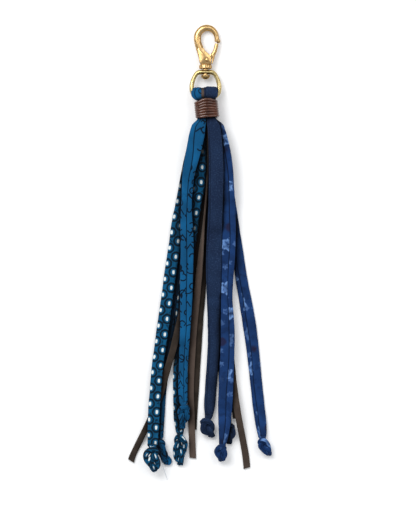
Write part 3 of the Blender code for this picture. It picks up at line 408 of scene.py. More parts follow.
def skin(rings, closed=False):
    """A surface over an array of rings (stations, points round, 3), with fans for end caps: its points and
    faces, the (station, point) of each face between rings, and how many faces the caps have."""
    n, m = rings.shape[:2]
    verts, cells = rings.reshape(-1, 3), [(i, j) for i in range(n if closed else n - 1) for j in range(m)]
    faces = []
    for i, j in cells:
        a, b, k = i * m, (i + 1) % n * m, (j + 1) % m
        faces.append((a + j, a + k, b + k, b + j))
    if not closed:
        for start, way in ((0, -1), ((n - 1) * m, 1)):
            middle = len(verts)
            verts = np.vstack([verts, verts[start:start + m].mean(axis=0)])
            faces += [(start + j, start + (j + 1) % m, middle)[::way] for j in range(m)]
    return verts, faces, cells, len(faces) - len(cells)


def section_rings(rows, across, rise):
    """Rings over a route's stations, from where each point lies across and up from its station."""
    rings = rows[:, None, :3] + across[..., None] * rows[:, None, 6:9] + rise[..., None] * rows[:, None, 9:12]
    return rings[:, ::-1]


# ---------------------------------------------------------------- routes of the folded pieces
# A station of a route: x, y, z, width, thickness, roundness, the unit vectors across and up, tightness.
STEP = 0.9                # between stations along a tube or lace
KNOT_STEP = 0.45
LOOSE = {True: 0.3, False: 0.55}    # a lace and a tube lie this much wider than pressed flat
FOLD_LOOSE = {True: 0.6, False: 0.5}    # and over the ring: the lace on edge, and the others
# Ends that lean together in the upper half, so no floor shows: (shift right, wider).
CLOSE_UP = {"DOTS_FRONT": (0.8, 0.0), "LACE_MIDDLE_BACK": (-0.45, 0.7), "LACE_LEFT_BACK": (0.4, 0.5)}
# Where along Y that starts and stops, each with the length it takes.
CLOSE_FROM, CLOSE_TO = (50.0, 15.0), (-10.0, 20.0)
GATHER = (7.0, 6.0)       # the pleats of the wrap and of a knot run out over this length
TIGHT = {"cell": 0.6, "fold": 0.25, "knot": 0.8}       # how tightly cloth is gathered there
ROUND_POINTS = 44
ROPE = 1.75               # half width of a tube where it is drawn into its knot
BALL_THICK = 3.5          # rows of a knot thicker than this are its ball
KNOT_FROM, KNOT_TO = 0.6, 1.6   # a knot starts this far below the neck and ends this far below its ball
BACK_SHOWS = 0.62         # share of the way over the ring from which on the back of the route is seen
MOST_LEAN = 0.4
# An overhand knot from its neck to its tail: (across, down, up) in shares of its half size, 0 to 1 down.
KNOT_ROUTE = (
    (0.10, 0.02, 0.00), (0.30, 0.22, 0.30), (0.80, 0.48, 0.45), (0.85, 0.80, -0.05), (0.15, 0.98, -0.60),
    (-0.70, 0.74, -0.55), (-0.95, 0.40, 0.10), (-0.40, 0.16, 0.85), (0.45, 0.10, 0.75), (0.85, 0.22, -0.10),
    (0.40, 0.40, -0.70), (-0.10, 0.62, -0.10), (-0.30, 0.86, 0.40),
)
KNOT_MIRRORED = ("DOTS_FRONT", "FLOWER_BACK", "NAVY_FRONT")


def knot_rows(strand):
    """Stations from a strand's neck through its knot to its cut end: (x, y, z, width, thickness, round)."""
    ball = strand.knot[strand.knot[:, 3] >= BALL_THICK]
    tail = strand.knot[strand.knot[:, 0] < ball[-1, 0]]
    half_w, half_t = (ball[:, 2] - ball[:, 1]).max() / 2, ball[:, 3].max() / 2
    top, bottom = strand.body_end - KNOT_FROM, ball[-1, 0] - KNOT_TO
    side = -1.0 if strand.name in KNOT_MIRRORED else 1.0
    floor = strand.at("z", (top + bottom) / 2)
    out = []
    for a, b, c in KNOT_ROUTE:
        y = mix(top - 0.5 * ROPE, bottom + 0.9 * ROPE, b)
        centre = np.interp(-y, -ball[:, 0], (ball[:, 1] + ball[:, 2]) / 2)
        if b < 0.1:
            centre = mix(strand.at("x", top), centre, b / 0.1)
        out.append((centre + side * a * (half_w - ROPE), y, floor + half_t + c * (half_t - ROPE),
                    2.1 * ROPE, 1.84 * ROPE, 1.0))
    for y, left, right, thick in tail:
        out.append(((left + right) / 2, y, floor + 0.8, right - left + 1.2, max(thick, 1.3), 0.25))
    if not len(tail):
        out.append((out[-1][0] - 0.8 * side, bottom - 1.2, floor + 1.2, 4.2, 1.7, 0.3))
    return out


def end_route(strand, face):
    """Stations down one hanging end from the wrap, with the side that face names on top."""
    ys = np.arange(EXIT_Y, strand.body_end, -STEP)
    if strand.lace:
        ys = np.append(ys, strand.body_end)
    slope = np.gradient(relax(strand.x, 8.0), GRID)
    shift, wider = CLOSE_UP.get(strand.name, (0.0, 0.0))
    rows = []
    for y in ys:
        lean = float(np.clip(np.interp(-y, -GRID, slope), -MOST_LEAN, MOST_LEAN))
        across, above = unit(np.array((1.0, -lean, 0.0))), np.array((0.0, 0.0, face))
        cos, sin = math.cos(strand.at("roll", y)), math.sin(strand.at("roll", y))
        tight = math.exp(-(EXIT_Y - y) / GATHER[0])
        if len(strand.knot):
            tight = max(tight, math.exp(-(y - strand.body_end) / GATHER[1]))
        near = float(smooth((CLOSE_FROM[0] - y) / CLOSE_FROM[1]) * smooth((y - CLOSE_TO[0]) / CLOSE_TO[1]))
        width = strand.at("w", y) * across[0] + LOOSE[strand.lace] + wider * near
        place = (strand.at("x", y) + shift * near, y, strand.at("z", y) + strand.at("height", y) / 2)
        rows.append((*place, width, strand.at("t", y), 0.0, *(across * cos + above * sin),
                     *(above * cos - across * sin), tight))
    rows = np.array(rows)
    if not len(strand.knot):
        return rows
    lead = rows[-3:, :6]
    way = spline(np.vstack([lead, knot_rows(strand)]), KNOT_STEP)
    way = way[np.argmin(np.linalg.norm(way[:, :3] - lead[-1, :3], axis=1)) + 1:]
    way[:, 5] = np.clip(way[:, 5], 0.0, 1.0)
    tangent = unit(np.gradient(way[:, :3], axis=0))
    side, sides = rows[-1, 6:9], []
    for t in tangent:                       # carry the frame along without twist
        side = unit(side - t * side.dot(t))
        sides.append(side)
    sides = np.array(sides)
    ups = np.cross(sides, tangent) * -face
    ups *= np.sign((ups[0] * rows[-1, 9:12]).sum())
    want = unit(np.array((1.0, 0.0, 0.0)) - tangent[-1] * tangent[-1][0])
    turn = math.atan2(float(want.dot(ups[-1])), float(want.dot(sides[-1])))
    share = np.linspace(0.0, 1.0, len(way))[:, None] * turn
    return np.vstack([rows, np.column_stack([
        way, sides * np.cos(share) + ups * np.sin(share), ups * np.cos(share) - sides * np.sin(share),
        np.full(len(way), TIGHT["knot"])])])


def cell_row(name, y, face, mouth=False):
    """A station inside the wrap, or at its mouth."""
    cx, cz, width, thick = CELLS[name]
    if mouth and name in MOUTH:
        y, cx, cz, width, thick = MOUTH[name]
    place = (WRAP_X + cx, y, cz + thick / 2)
    if name in LACE_TURN:
        return (*place, thick, width, 0.0, 0.0, 0.0, face, -1.0, 0.0, 0.0, TIGHT["cell"])
    return (*place, width, thick, 0.0, 1.0, 0.0, 0.0, 0.0, 0.0, face, TIGHT["cell"])


def fold_rows(piece):
    """Stations round the ring's lower bar, from the front layer to the back one."""
    left, right, inner, thick = FOLDS[piece]
    spread_left, spread_right = FOLD_SPREAD.get(piece, (0.0, 0.0))
    radius = inner + thick / 2
    reach = radius + FOLD_REACH.get(piece, 0.0)
    on_edge = piece == "lace_middle"
    rows = []
    for angle in np.radians(range(90, -91, -15)):
        cos, sin = math.cos(angle), math.sin(angle)
        spread = math.sin(1.35 * angle) ** 2 if angle > 0 else 0.0
        lo, hi = left - spread_left * spread, right + spread_right * spread
        width = hi - lo + FOLD_LOOSE[on_edge]
        place = ((lo + hi) / 2, RING_BAR_Y + reach * cos, RING_BAR_Z + radius * sin)
        turned_up = (thick, width, 0.0, 0.0, cos, sin, -1.0, 0.0, 0.0)
        rows.append((*place, *(turned_up if on_edge else (width, thick, 0.0, 1.0, 0.0, 0.0, 0.0, cos, sin)),
                     TIGHT["fold"]))
    return rows


def route(piece, strands):
    """All stations of a folded piece from its front tip to its back tip, and which side shows at each."""
    front, back = PIECES[piece][:2]
    ahead, behind = end_route(strands[front], 1.0), end_route(strands[back], -1.0)
    middle = [ahead[0], cell_row(front, WRAP_INSIDE_Y, 1.0), cell_row(front, BACK_ENTRY_Y, 1.0),
              cell_row(front, ENTRY_Y, 1.0, True), *fold_rows(piece),
              cell_row(back, BACK_ENTRY_Y, -1.0), cell_row(back, WRAP_INSIDE_Y, -1.0), behind[0]]
    middle = spline(middle, STEP)
    rows = np.vstack([ahead[::-1], middle[1:-1], behind])
    rows[:, 6:9], rows[:, 9:12] = unit(rows[:, 6:9]), unit(rows[:, 9:12])
    return rows, np.where(np.arange(len(rows)) < len(ahead) + len(middle) * BACK_SHOWS, 1.0, -1.0)


# ---------------------------------------------------------------- tubes
PRESSED = (8.3, 1.9)      # width and thickness of the tube that the section is measured on


def pressed_section(count):
    """Unit (u, v) of a pressed tube's section at even steps round it, the angle there and the way round."""
    angle = np.linspace(-math.pi / 2, 1.5 * math.pi, 721)
    c, s = np.cos(angle), np.sin(angle)
    u, v = np.sign(c) * np.abs(c) ** 0.8, np.sign(s) * np.abs(s) ** 0.6
    along = run_of(np.column_stack([u * PRESSED[0] / 2, v * PRESSED[1] / 2]))
    at = np.linspace(0.0, along[-1], count, endpoint=False)
    return [np.interp(at, along, way) for way in (u, v, angle)] + [along[-1]]


# Print offset on each end: (across, along) in millimetres, front then back.
PRINT_SHIFT = {
    "fabric_teal": ((0, 0), (4, 30)), "fabric_dots": ((-1.2, 4.2), (3.2, 2.2)),
    "fabric_navy": ((0, 0), (3, 7)), "fabric_flower": ((0, 0), (6, 21)),
}
SEAM_JUMP = (6.1, 3.7)    # the print doesn't meet across the seam
NO_SEAM = 9.0             # stands in the seam map for a place far from any seam
# Where the seam of the teal tube's front end wanders to: (y, share of the half width).
SEAM_WAY = ((84, -0.35), (68, -0.2), (50, 0.15), (25, 0), (-60, 0.1), (-100, 0.25))
# Heights of the cloth's relief in millimetres.
SEAM_DENT, SEAM_STEP, SEAM_PUCKER = 0.36, 0.14, 0.07
SWELL, RIPPLE, PLEAT, KNOT_FOLD, EDGE_WEAR = 0.17, 0.08, 0.22, 0.30, 0.1


def build_tube(piece, strands, mat, seed):
    """A sewn tube with its seam, folds, gathers and knots."""
    rows, shown = route(piece, strands)
    seams = PIECES[piece][2]
    u0, v0, angle, girth = pressed_section(ROUND_POINTS)
    front, rounding, gather = shown[:, None] > 0, rows[:, 5:6], rows[:, 12:13]
    u, v = mix(u0, np.cos(angle), rounding), mix(v0, np.sin(angle), rounding)
    half_w, half_t = rows[:, 3:4] / 2, rows[:, 4:5] / 2
    px, pz = u * half_w, v * half_t
    tx, tz = [np.roll(way, -1, 1) - np.roll(way, 1, 1) for way in (px, pz)]
    length = np.maximum(np.hypot(tx, tz), 1e-6)
    q = np.arange(ROUND_POINTS) * girth / ROUND_POINTS
    lateral = np.where(front, girth / 2 - q, np.where(q < girth / 2, q, q - girth))
    s = run_of(rows[:, :3])[:, None]
    face, flat = smooth(v * shown[:, None] * 1.6), 1.0 - rounding
    wander = 0.25 * np.sin(s / 17.0 + seed) + 0.18 * np.sin(s / 6.3)
    ahead = np.full(len(rows), seams[0])
    if piece == "fabric_teal":
        ahead = np.interp(-rows[:, 1], *-np.array(SEAM_WAY).T * ((1.0,), (-1.0,)))
    off = lateral - (np.where(front, ahead[:, None], seams[1]) * half_w + wander)
    soft, fine, cross = Field(seed), Field(seed + 1), Field(seed + 2)
    d = -SEAM_DENT * np.exp(-(off / 0.36) ** 2) * face * flat
    d = d + SEAM_STEP * np.tanh(off / 0.3) * np.exp(-np.abs(off) / 2.2) * face * flat
    d = d + SWELL * soft(lateral / 2.4 + 9.0, s / 13.0) * (0.35 + 0.65 * face)
    d = d + RIPPLE * fine(lateral / 1.1 + 5.0, s / 4.5)
    d = d + SEAM_PUCKER * cross(lateral / 1.3, s / 1.5) * np.exp(-(off / 1.6) ** 2) * face
    pleats = np.cos(TURN * lateral / 1.75 + 1.4 * soft(s / 9.0, 3.0) + seed)
    d = d + PLEAT * pleats * gather * mix(0.6, 1.0, rounding)
    d = d + KNOT_FOLD * soft(np.sin(TURN * q / girth) * 3.0 + 20.0, s / 3.2) * rounding
    d = d - EDGE_WEAR * (1.0 - np.abs(v) ** 2) * flat * (0.5 + 0.5 * fine(s / 5.0, 1.0))
    rings = section_rings(rows, px + tz / length * d, pz - tx / length * d)
    verts, faces, cells, caps = skin(rings)
    maps = tube_maps(piece, cells, lateral[:, ::-1], off[:, ::-1], s[:, 0], shown, girth, caps)
    return finish_mesh(piece + "_cloth", verts, faces, [mat], "tassel", piece, [piece], maps)


def tube_maps(piece, cells, lateral, off, s, shown, girth, caps):
    """The two UV maps, a row to each face corner, in centimetres: the cloth across its shown side and along
    from the fold, and the distance from the seam."""
    middle = s[int(np.argmax(shown < 0))]
    cloth, seam = [], []
    for i, j in cells:
        k = (j + 1) % ROUND_POINTS
        shift_x, shift_y = PRINT_SHIFT[piece][0 if shown[i] > 0 else 1]
        if piece != "fabric_dots" and (off[i, j] + off[i, k]) / 2 > 0:
            shift_x, shift_y = shift_x + SEAM_JUMP[0], shift_y + SEAM_JUMP[1]
        base = lateral[i, j]
        for a, b in ((i, j), (i, k), (i + 1, k), (i + 1, j)):
            x = lateral[i, b]
            if abs(x - base) > girth / 2:
                x -= math.copysign(girth, x - base)
            cloth.append(((x + shift_x) / 10.0, (abs(s[a] - middle) + shift_y) / 10.0))
            near = abs(off[a, b]) < 3.0 and shown[a] * shown[i] > 0
            seam.append((off[a, b] / 10.0 if near else NO_SEAM, 0.0))
    return ("cloth", cloth + [(0.0, 0.0)] * (caps * 3)), ("seam", seam + [(NO_SEAM, 0.0)] * (caps * 3))


# ---------------------------------------------------------------- laces, threads and cord
LACE_HALF = ((-1, -0.55), (-0.9, -1), (-0.45, -1), (0, -1), (0.45, -1), (0.9, -1), (1, -0.55))
LACE_SECTION = np.array(LACE_HALF + tuple((-x, -z) for x, z in LACE_HALF))
# Slant of the two cut ends, front then back, as a share of half the width.
LACE_CUTS = {"lace_middle": (0.15, -0.4), "lace_left": (0.35, 0.0), "lace_right": (-0.2, 0.7)}
# How pale the suede of the front and the back end is painted, from 0 to 1: painted light on the lit end,
# painted shade on the ends that lie in shade.
LACE_PAINTED_LIGHT = {"lace_middle": (0.9, 0.0), "lace_left": (0.15, 0.1), "lace_right": (0.4, 0.05)}
# Two loose ends of sewing thread that hang from the cloth.
LOOSE_THREADS = (
    ((-25.2, -139, 2.6), (-24.4, -141, 1.6), (-23.3, -144, 0.5), (-22, -147.6, 0.3), (-21, -151, 0.3)),
    ((-32.2, -134.2, 7), (-31.6, -136.3, 6.6), (-30.6, -138.4, 5.2), (-30.2, -139.8, 3.2)),
)
THREAD_RADIUS = 0.16


def round_rings(centres, sides, ups, radius, count):
    """Rings of a round line whose frame at each centre is given."""
    angle = circle(count)
    across, rise = radius * np.cos(angle), radius * np.sin(angle)
    return centres[:, None, :] + across[..., None] * sides[:, None, :] + rise[..., None] * ups[:, None, :]


def build_threads(mat):
    """White sewing thread left long at the cut ends."""
    for k, line in enumerate(LOOSE_THREADS):
        way = spline(line, 0.8)
        tangent = unit(np.gradient(way, axis=0))
        side = unit(np.cross(tangent, (0.0, 0.0, 1.0)))
        verts, faces = skin(round_rings(way, side, np.cross(side, tangent), THREAD_RADIUS, 6))[:2]
        finish_mesh(f"loose_thread_{k}", verts, faces, [mat], "tassel", "fabric_teal")


def build_lace(piece, strands, mat, seed):
    """A flat suede lace with cut ends and a slight cup."""
    rows, shown = route(piece, strands)
    across, thick = LACE_SECTION.T
    s = run_of(rows[:, :3])[:, None]
    wear, nap = Field(seed), Field(seed + 1)
    u = across * (1.0 + 0.035 * wear(s / 7.0, 2.0))
    v = thick + 0.05 * nap(across * 2.5 + 7.0, s / 2.5)
    rings = section_rings(rows, u * rows[:, 3:4] / 2, v * rows[:, 4:5] / 2)
    for end, beside, cut in zip((0, -1), (1, -2), LACE_CUTS[piece]):
        along = unit(rows[end, :3] - rows[beside, :3])
        rings[end] += along * (across[::-1, None] * cut * rows[end, 3] / 2)
    verts, faces, cells, caps = skin(rings)
    cloth, painted_light = [], []
    for i, j in cells:
        # Each end's painted light goes into the second UV map.
        painted_light += [(LACE_PAINTED_LIGHT[piece][0 if shown[i] > 0 else 1], 0.0)] * 4
        cloth += [(b / len(across) * 1.05, s[a, 0] / 10.0)
                  for a, b in ((i, j), (i, j + 1), (i + 1, j + 1), (i + 1, j))]
    maps = ("cloth", cloth + [(0.5, 0.0)] * (caps * 3)), ("seam", painted_light + [(0.0, 0.0)] * (caps * 3))
    return finish_mesh(piece + "_suede", verts, faces, [mat], "tassel", "lace_leather", [piece], maps, 55)


WRAP_STEPS = 84           # stations in one turn
WRAP_TUCK = 1.3           # how deep the cord's two ends are tucked in
WRAP_BULGE = 0.9          # how far the turns swell over the front
WRAP_MIDDLE = 89.5        # the turns lie a little further right below this than above it
WRAP_LEAN = 0.11


def wrap_path():
    """The way of one turn, from the middle of the back: rows of x, z and the outward x, z."""
    outline = []
    for quarter, (x_way, z_way) in enumerate(((1, 1), (-1, 1), (-1, -1), (1, -1))):
        cx = WRAP_X + (WRAP_HALF[0] - WRAP_CORNER) * x_way
        cz = WRAP_Z + (WRAP_HALF[1] - WRAP_CORNER) * z_way
        for step in range(7):
            angle = math.radians(quarter * 90 + 15 * step)
            nx, nz = math.cos(angle), math.sin(angle)
            outline.append((cx + nx * WRAP_CORNER, cz + nz * WRAP_CORNER, nx, nz))
    outline = np.array(outline + outline[:1])
    run = run_of(outline[:, :2])
    at = np.linspace(0.0, 1.0, WRAP_STEPS, endpoint=False) * run[-1]
    loop = np.column_stack([np.interp(at, run, column) for column in outline.T])
    start = int(np.argmin(np.abs(loop[:, 0] - WRAP_X) + 100.0 * (loop[:, 3] > -0.9)))
    return np.roll(loop, -start, axis=0)[::-1]


def turn_line(x, z, share):
    """Where a share of the way down the turns lies along Y at a place round the wrap."""
    off = x - WRAP_X
    rise = math.sin(math.atan2(z - WRAP_Z, off))
    arch = WRAP_ARCH[0] + WRAP_ARCH[1] * off + WRAP_ARCH[2] * off * off
    top = WRAP_TOP[0] + WRAP_TOP[1] * off * float(smooth(1.0 + rise)) + float(smooth(rise)) * arch
    return mix(top, WRAP_BOTTOM[0] + WRAP_BOTTOM[1] * off, share)


def build_wrap(mat):
    """One round leather cord in seven close turns."""
    loop, grain, steps = wrap_path(), Field(71), WRAP_TURNS * WRAP_STEPS
    centres, outs = [], []
    for k in range(steps + 1):
        x, z, nx, nz = loop[k % WRAP_STEPS]
        tuck = min(1.0, k / 6.0, (steps - k) / 6.0)
        out = CORD / 2 - (1.0 - tuck) * WRAP_TUCK + 0.05 * float(grain(k / 9.0, 4.0))
        out += WRAP_BULGE * max(0.0, nz) * max(0.0, 1.0 - ((x - WRAP_X) / WRAP_HALF[0]) ** 2)
        y = turn_line(x, z, k / steps) + 0.05 * float(grain(k / 13.0, 9.0))
        centres.append((x + nx * out + WRAP_LEAN * (WRAP_MIDDLE - y), y, z + nz * out))
        outs.append((nx, 0.0, nz))
    centres, outs = np.array(centres), np.array(outs)
    tangent = unit(np.gradient(centres, axis=0))
    outs = unit(outs - tangent * (outs * tangent).sum(axis=1, keepdims=True))
    radius = CORD / 2 * (1.0 + 0.02 * grain(np.arange(steps + 1)[:, None] / 3.0, circle(16) * 2.0 + 3.0))
    verts, faces = skin(round_rings(centres, outs, np.cross(tangent, outs), radius, 16))[:2]
    return finish_mesh("wrap_turns", verts, faces, [mat], "tassel", "wrap_leather", ["wrap_cord"])


# ---------------------------------------------------------------- metal
# Half of the ring's middle line: (x, y, half thickness in its plane, half depth).
RING_LINE = (
    *((x, y, WIRE_RADIUS, WIRE_RADIUS)
      for x, y in ((0, 0), (3, 0), (5.4, 0.15), (7.5, 1.3), (8.65, 3.5), (8.95, 6.4))),
    (8.5, 9.3, 1.4, WIRE_RADIUS), (7.4, 12.4, 1.3, 1.6), (5.9, 14.9, 1.35, 1.9),
    (4.3, 15.9, 1.5, 2.3), (2.2, 16.1, 1.5, 2.6),
)
BOW_LINE = (
    (-2.6, 26.0, 1.9, 1.9), (-3.2, 29.5, 2.3, 2.0), (-3.9, 32.0, 2.35, 2.05),
    (-4.9, 35.2, 2.2, 2.1), (-5.2, 38.2, 2.25, 2.1), (-4.9, 40.6, 2.25, 2.1),
    (-3.5, 42.9, 2.2, 2.1), (-1.4, 44.5, 2.15, 2.1), (1.1, 45.0, 2.1, 2.1),
    (3.6, 44.4, 1.95, 2.0), (5.5, 42.9, 1.75, 1.9), (6.8, 40.7, 1.55, 1.8),
    (7.3, 38.3, 1.42, 1.7), (7.35, 36.9, 1.4, 1.65), (7.3, 35.9, 1.3, 1.55),
)
NOSE_AT = (8.3, 36.3, 0.0)      # bead at the end of the bow, that the gate closes under
NOSE_RADIUS = 1.35
PLATE_OUTLINE = (
    (-3.6, 20.5), (3.5, 20.5), (3.9, 23.0), (3.8, 25.7), (1.9, 28.0), (-0.3, 29.9),
    (-1.6, 32.5), (-5.4, 32.0), (-4.6, 27.0),
)
PLATE_EDGE = 0.45         # rounding of the plate's edges
# Post, collar and head, turned about the swivel axis: (radius, y).
POST_PROFILE = (
    (0.9, 11.5), (1.9, 11.9), (2.6, 12.7), (2.76, 13.5), (2.76, 14.1), (POST_RADIUS, 14.2),
    (POST_RADIUS, 18.15), (3.75, 18.25), (4.05, 18.6), (4.05, 20.4), (3.6, 20.9),
)
BORE = ((POST_RADIUS + GAP, 12.0), (POST_RADIUS + GAP, 20.0))
SLOT_OUTLINE = ((-1.5, 21.6), (8.0, 21.6), (8.0, 33.0), (2.0, 33.0), (-1.5, 27.6))
# Gate lever about its pin: (radius, degrees from +X, half width), from its heel beside the plate to its tip.
LEVER_LINE = (
    (3.95, -34.0, 0.35), (3.8, -10.0, 0.45), (4.15, 15.0, 0.7), (4.65, 30.0, 1.0), (5.4, 42.0, 1.35),
    (7.0, 46.5, 1.25), (8.6, 51.0, 1.2), (10.6, 55.8, 1.2), (12.35, 59.3, 1.2),
)
LEVER_HALF_DEPTH = 1.5
# Tongue of the gate, in the plate's slot: (radius, degrees, half width).
TONGUE_LINE = ((0.0, 42.0, 1.9), (3.0, 42.0, 1.5), (6.2, 42.0, 1.0))
KNUCKLE = ((1.9, -0.53), (1.9, 0.53))      # round end of the tongue about the pin: (radius, height)
# One half of the gate pin, turned about its own axis: (radius, height).
PIN_REACH = PLATE_HALF_DEPTH + GAP
PIN_HALF = ((0.9, PIN_REACH), (1.4, PIN_REACH), (1.2, PIN_REACH + 0.35), (0.8, PIN_REACH + 0.6))
PIN_PROFILE = tuple((r, -z) for r, z in reversed(PIN_HALF)) + PIN_HALF

HOOK_TO_WORLD = (Matrix.Translation((AXIS_X * MM, RING_BAR_Y * MM, RING_BAR_Z * MM))
                 @ Matrix.Rotation(-PITCH, 4, "X"))
HINGE_TO_WORLD = HOOK_TO_WORLD @ Matrix.Translation((PIN_AT[0] * MM, PIN_AT[1] * MM, 0.0))
METAL_SHARP = 38          # degrees between faces that still look round
METAL_STEP = 0.5          # between stations along a swept line


def sweep_flat(line, count, power, closed=False):
    """Sweep a rounded section along a smooth line of (x, y, half width, half depth) in the hook's plane."""
    line = np.array(line, float)
    rows = np.column_stack([line[:, :2], np.zeros(len(line)), line[:, 2:]])
    if closed:
        way = spline(np.vstack([rows[-3:], rows, rows[:3]]), METAL_STEP)
        from_start, half = np.linalg.norm(way[:, :3] - rows[0, :3], axis=1), len(way) // 2
        way = way[np.argmin(from_start[:half]):half + np.argmin(from_start[half:])]
        along = unit(np.roll(way[:, :2], -1, 0) - np.roll(way[:, :2], 1, 0))
    else:
        way = spline(rows, METAL_STEP)
        along = unit(np.gradient(way[:, :2], axis=0))
    c, s = np.cos(circle(count)), np.sin(circle(count))
    u, v = np.sign(c) * np.abs(c) ** power, np.sign(s) * np.abs(s) ** power
    across = np.column_stack([along[:, 1], -along[:, 0]])
    rings = np.zeros((len(way), count, 3))
    rings[:, :, :2] = way[:, None, :2] + across[:, None, :] * (u[:, None] * way[:, None, 3:4])
    rings[:, :, 2] = v * way[:, 4:5]
    return skin(rings, closed)[:2]


def turned(profile, count, upright=False):
    """Turn a (radius, height) profile about the Y axis, or about Z where it is upright."""
    rows = np.array(profile, float)
    rings = np.zeros((len(rows), count, 3))
    other, along = (1, 2) if upright else (2, 1)
    rings[:, :, 0] = rows[:, :1] * np.cos(circle(count))
    rings[:, :, other] = rows[:, :1] * np.sin(circle(count))
    rings[:, :, along] = rows[:, 1:2]
    return skin(rings)[:2]


def slab(outline, half_depth, edge=0.0):
    """An outline with a depth and rounded edges."""
    pts = np.array(outline, float)
    away = unit(pts.mean(axis=0) - pts)
    levels = [(edge, half_depth), (0.3 * edge, half_depth - 0.3 * edge), (0.0, half_depth - edge)]
    levels = [(a, -z) for a, z in levels] + levels[::-1] if edge else [(0.0, -half_depth), (0.0, half_depth)]
    return skin(np.array([np.column_stack([pts + away * a, np.full(len(pts), z)]) for a, z in levels]))[:2]


def smooth_outline(points):
    """An outline with its corners drawn round."""
    pts = np.array(points, float)
    for _ in range(2):
        after = np.roll(pts, -1, axis=0)
        pts = np.stack([mix(pts, after, 0.22), mix(pts, after, 0.78)], axis=1).reshape(-1, 2)
    return pts


def about_pin(rows, half_depth):
    """A line for sweep_flat from rows of radius, degrees, half width round the gate's pin."""
    return [(r * math.cos(math.radians(a)), r * math.sin(math.radians(a)), w, half_depth) for r, a, w in rows]


def placed(name, shape, mat=None, body=None, nodes=(), world=HOOK_TO_WORLD, sharp=METAL_SHARP):
    """A metal piece put in the hook's frame, or a shape to carve one with."""
    obj = finish_mesh(name, *shape, [mat] if mat else [], body, "gold" if body else None, nodes, (), sharp)
    obj.data.transform(world)
    return obj


def carve(obj, operation, *others):
    """Join or cut other shapes for good."""
    for other in others:
        mod = obj.modifiers.new("Carve", "BOOLEAN")
        mod.operation, mod.solver, mod.object = operation, "EXACT", other
        bpy.context.view_layer.update()
        graph = bpy.context.evaluated_depsgraph_get()
        mesh = bpy.data.meshes.new_from_object(obj.evaluated_get(graph))
        obj.modifiers.clear()
        obj.data = mesh
        bpy.data.objects.remove(other)
    obj.data.shade_smooth()
    obj.data.set_sharp_from_angle(angle=math.radians(METAL_SHARP))


def build_metal(ring_gold, gold):
    """Ring with its bridge, hook, gate and pin."""
    line = RING_LINE + tuple((-x, *row) for x, *row in reversed(RING_LINE[1:]))
    ring = placed("ring_gold", sweep_flat(line, 24, 1.0, True), ring_gold, "tassel", ["ring"])
    carve(ring, "DIFFERENCE", placed("cut_bore", turned(BORE, 32)))

    plate = slab(smooth_outline(PLATE_OUTLINE), PLATE_HALF_DEPTH, PLATE_EDGE)
    hook = placed("hook_gold", plate, gold, "hook", ["hook_body"])
    bead = [(NOSE_RADIUS * math.sin(a), -NOSE_RADIUS * math.cos(a)) for a in np.radians(range(15, 180, 15))]
    nose = HOOK_TO_WORLD @ Matrix.Translation(Vector(NOSE_AT) * MM)
    carve(hook, "UNION", placed("add_bow", sweep_flat(BOW_LINE, 24, 0.92)),
          placed("add_nose", turned(bead, 28), world=nose), placed("add_post", turned(POST_PROFILE, 40)))
    carve(hook, "DIFFERENCE", placed("cut_slot", slab(SLOT_OUTLINE, SLOT_HALF_DEPTH)))

    lever = sweep_flat(about_pin(LEVER_LINE, LEVER_HALF_DEPTH), 20, 0.75)
    tongue = sweep_flat(about_pin(TONGUE_LINE, TONGUE_HALF_DEPTH), 12, 0.3)
    gate = placed("gate_gold", lever, gold, "gate", ["gate"], HINGE_TO_WORLD)
    carve(gate, "UNION", placed("add_tongue", tongue, world=HINGE_TO_WORLD),
          placed("add_knuckle", turned(KNUCKLE, 28, True), world=HINGE_TO_WORLD))
    placed("pin_gold", turned(PIN_PROFILE, 28, True), gold, "hook", ["gate_pin"], HINGE_TO_WORLD, 50)


# ---------------------------------------------------------------- materials
def put(into, value):
    """Link a wire to a socket, or set the socket to a plain value."""
    if isinstance(value, Wire):
        into.id_data.links.new(value.socket, into)
    else:
        into.default_value = (*value, 1.0) if into.type == "RGBA" and len(value) == 3 else value


class Wire:
    """The output of a node. A sum written with wires makes the nodes that work it out."""

    def __init__(self, socket):
        self.socket = socket

    def do(self, operation, *others, kind="ShaderNodeMath"):
        made = self.socket.id_data.nodes.new(kind)
        made.operation = operation
        for into, value in zip(made.inputs, (self, *others)):
            put(into, value)
        return Wire(made.outputs[0])

    def __add__(self, other):
        return self.do("ADD", other)

    def __sub__(self, other):
        return self.do("SUBTRACT", other)

    def __mul__(self, other):
        return self.do("MULTIPLY", other)

    def __truediv__(self, other):
        return self.do("DIVIDE", other)

    def __pow__(self, other):
        return self.do("POWER", other)

    def __abs__(self):
        return self.do("ABSOLUTE")

    def by(self, factor, more):
        return self.do("MULTIPLY_ADD", factor, more)

    def most(self, other):
        return self.do("MAXIMUM", other)

    def reach(self, other):
        """Distance from 0 of a point with these two coordinates."""
        return (self * self + other * other).do("SQRT")

    def moved(self, x, y):
        return self.do("ADD", (x, y, 0.0), kind="ShaderNodeVectorMath")

    def times(self, x, y, z=1.0):
        return self.do("MULTIPLY", (x, y, z), kind="ShaderNodeVectorMath")

    def parts(self, kind="ShaderNodeSeparateXYZ"):
        """The X, Y and Z of a vector, or the channels of a colour."""
        made = self.socket.id_data.nodes.new(kind)
        put(made.inputs[0], self)
        return [Wire(out) for out in made.outputs]

    def ramp(self, low, high):
        """0 below low and 1 above high, smoothly; low above high turns it round."""
        made = self.socket.id_data.nodes.new("ShaderNodeMapRange")
        made.interpolation_type = "SMOOTHSTEP"
        ends = (high, low, 1.0, 0.0) if low > high else (low, high, 0.0, 1.0)
        for key, value in zip(("Value", "From Min", "From Max", "To Min", "To Max"), (self, *ends)):
            put(made.inputs[key], value)
        return Wire(made.outputs["Result"])


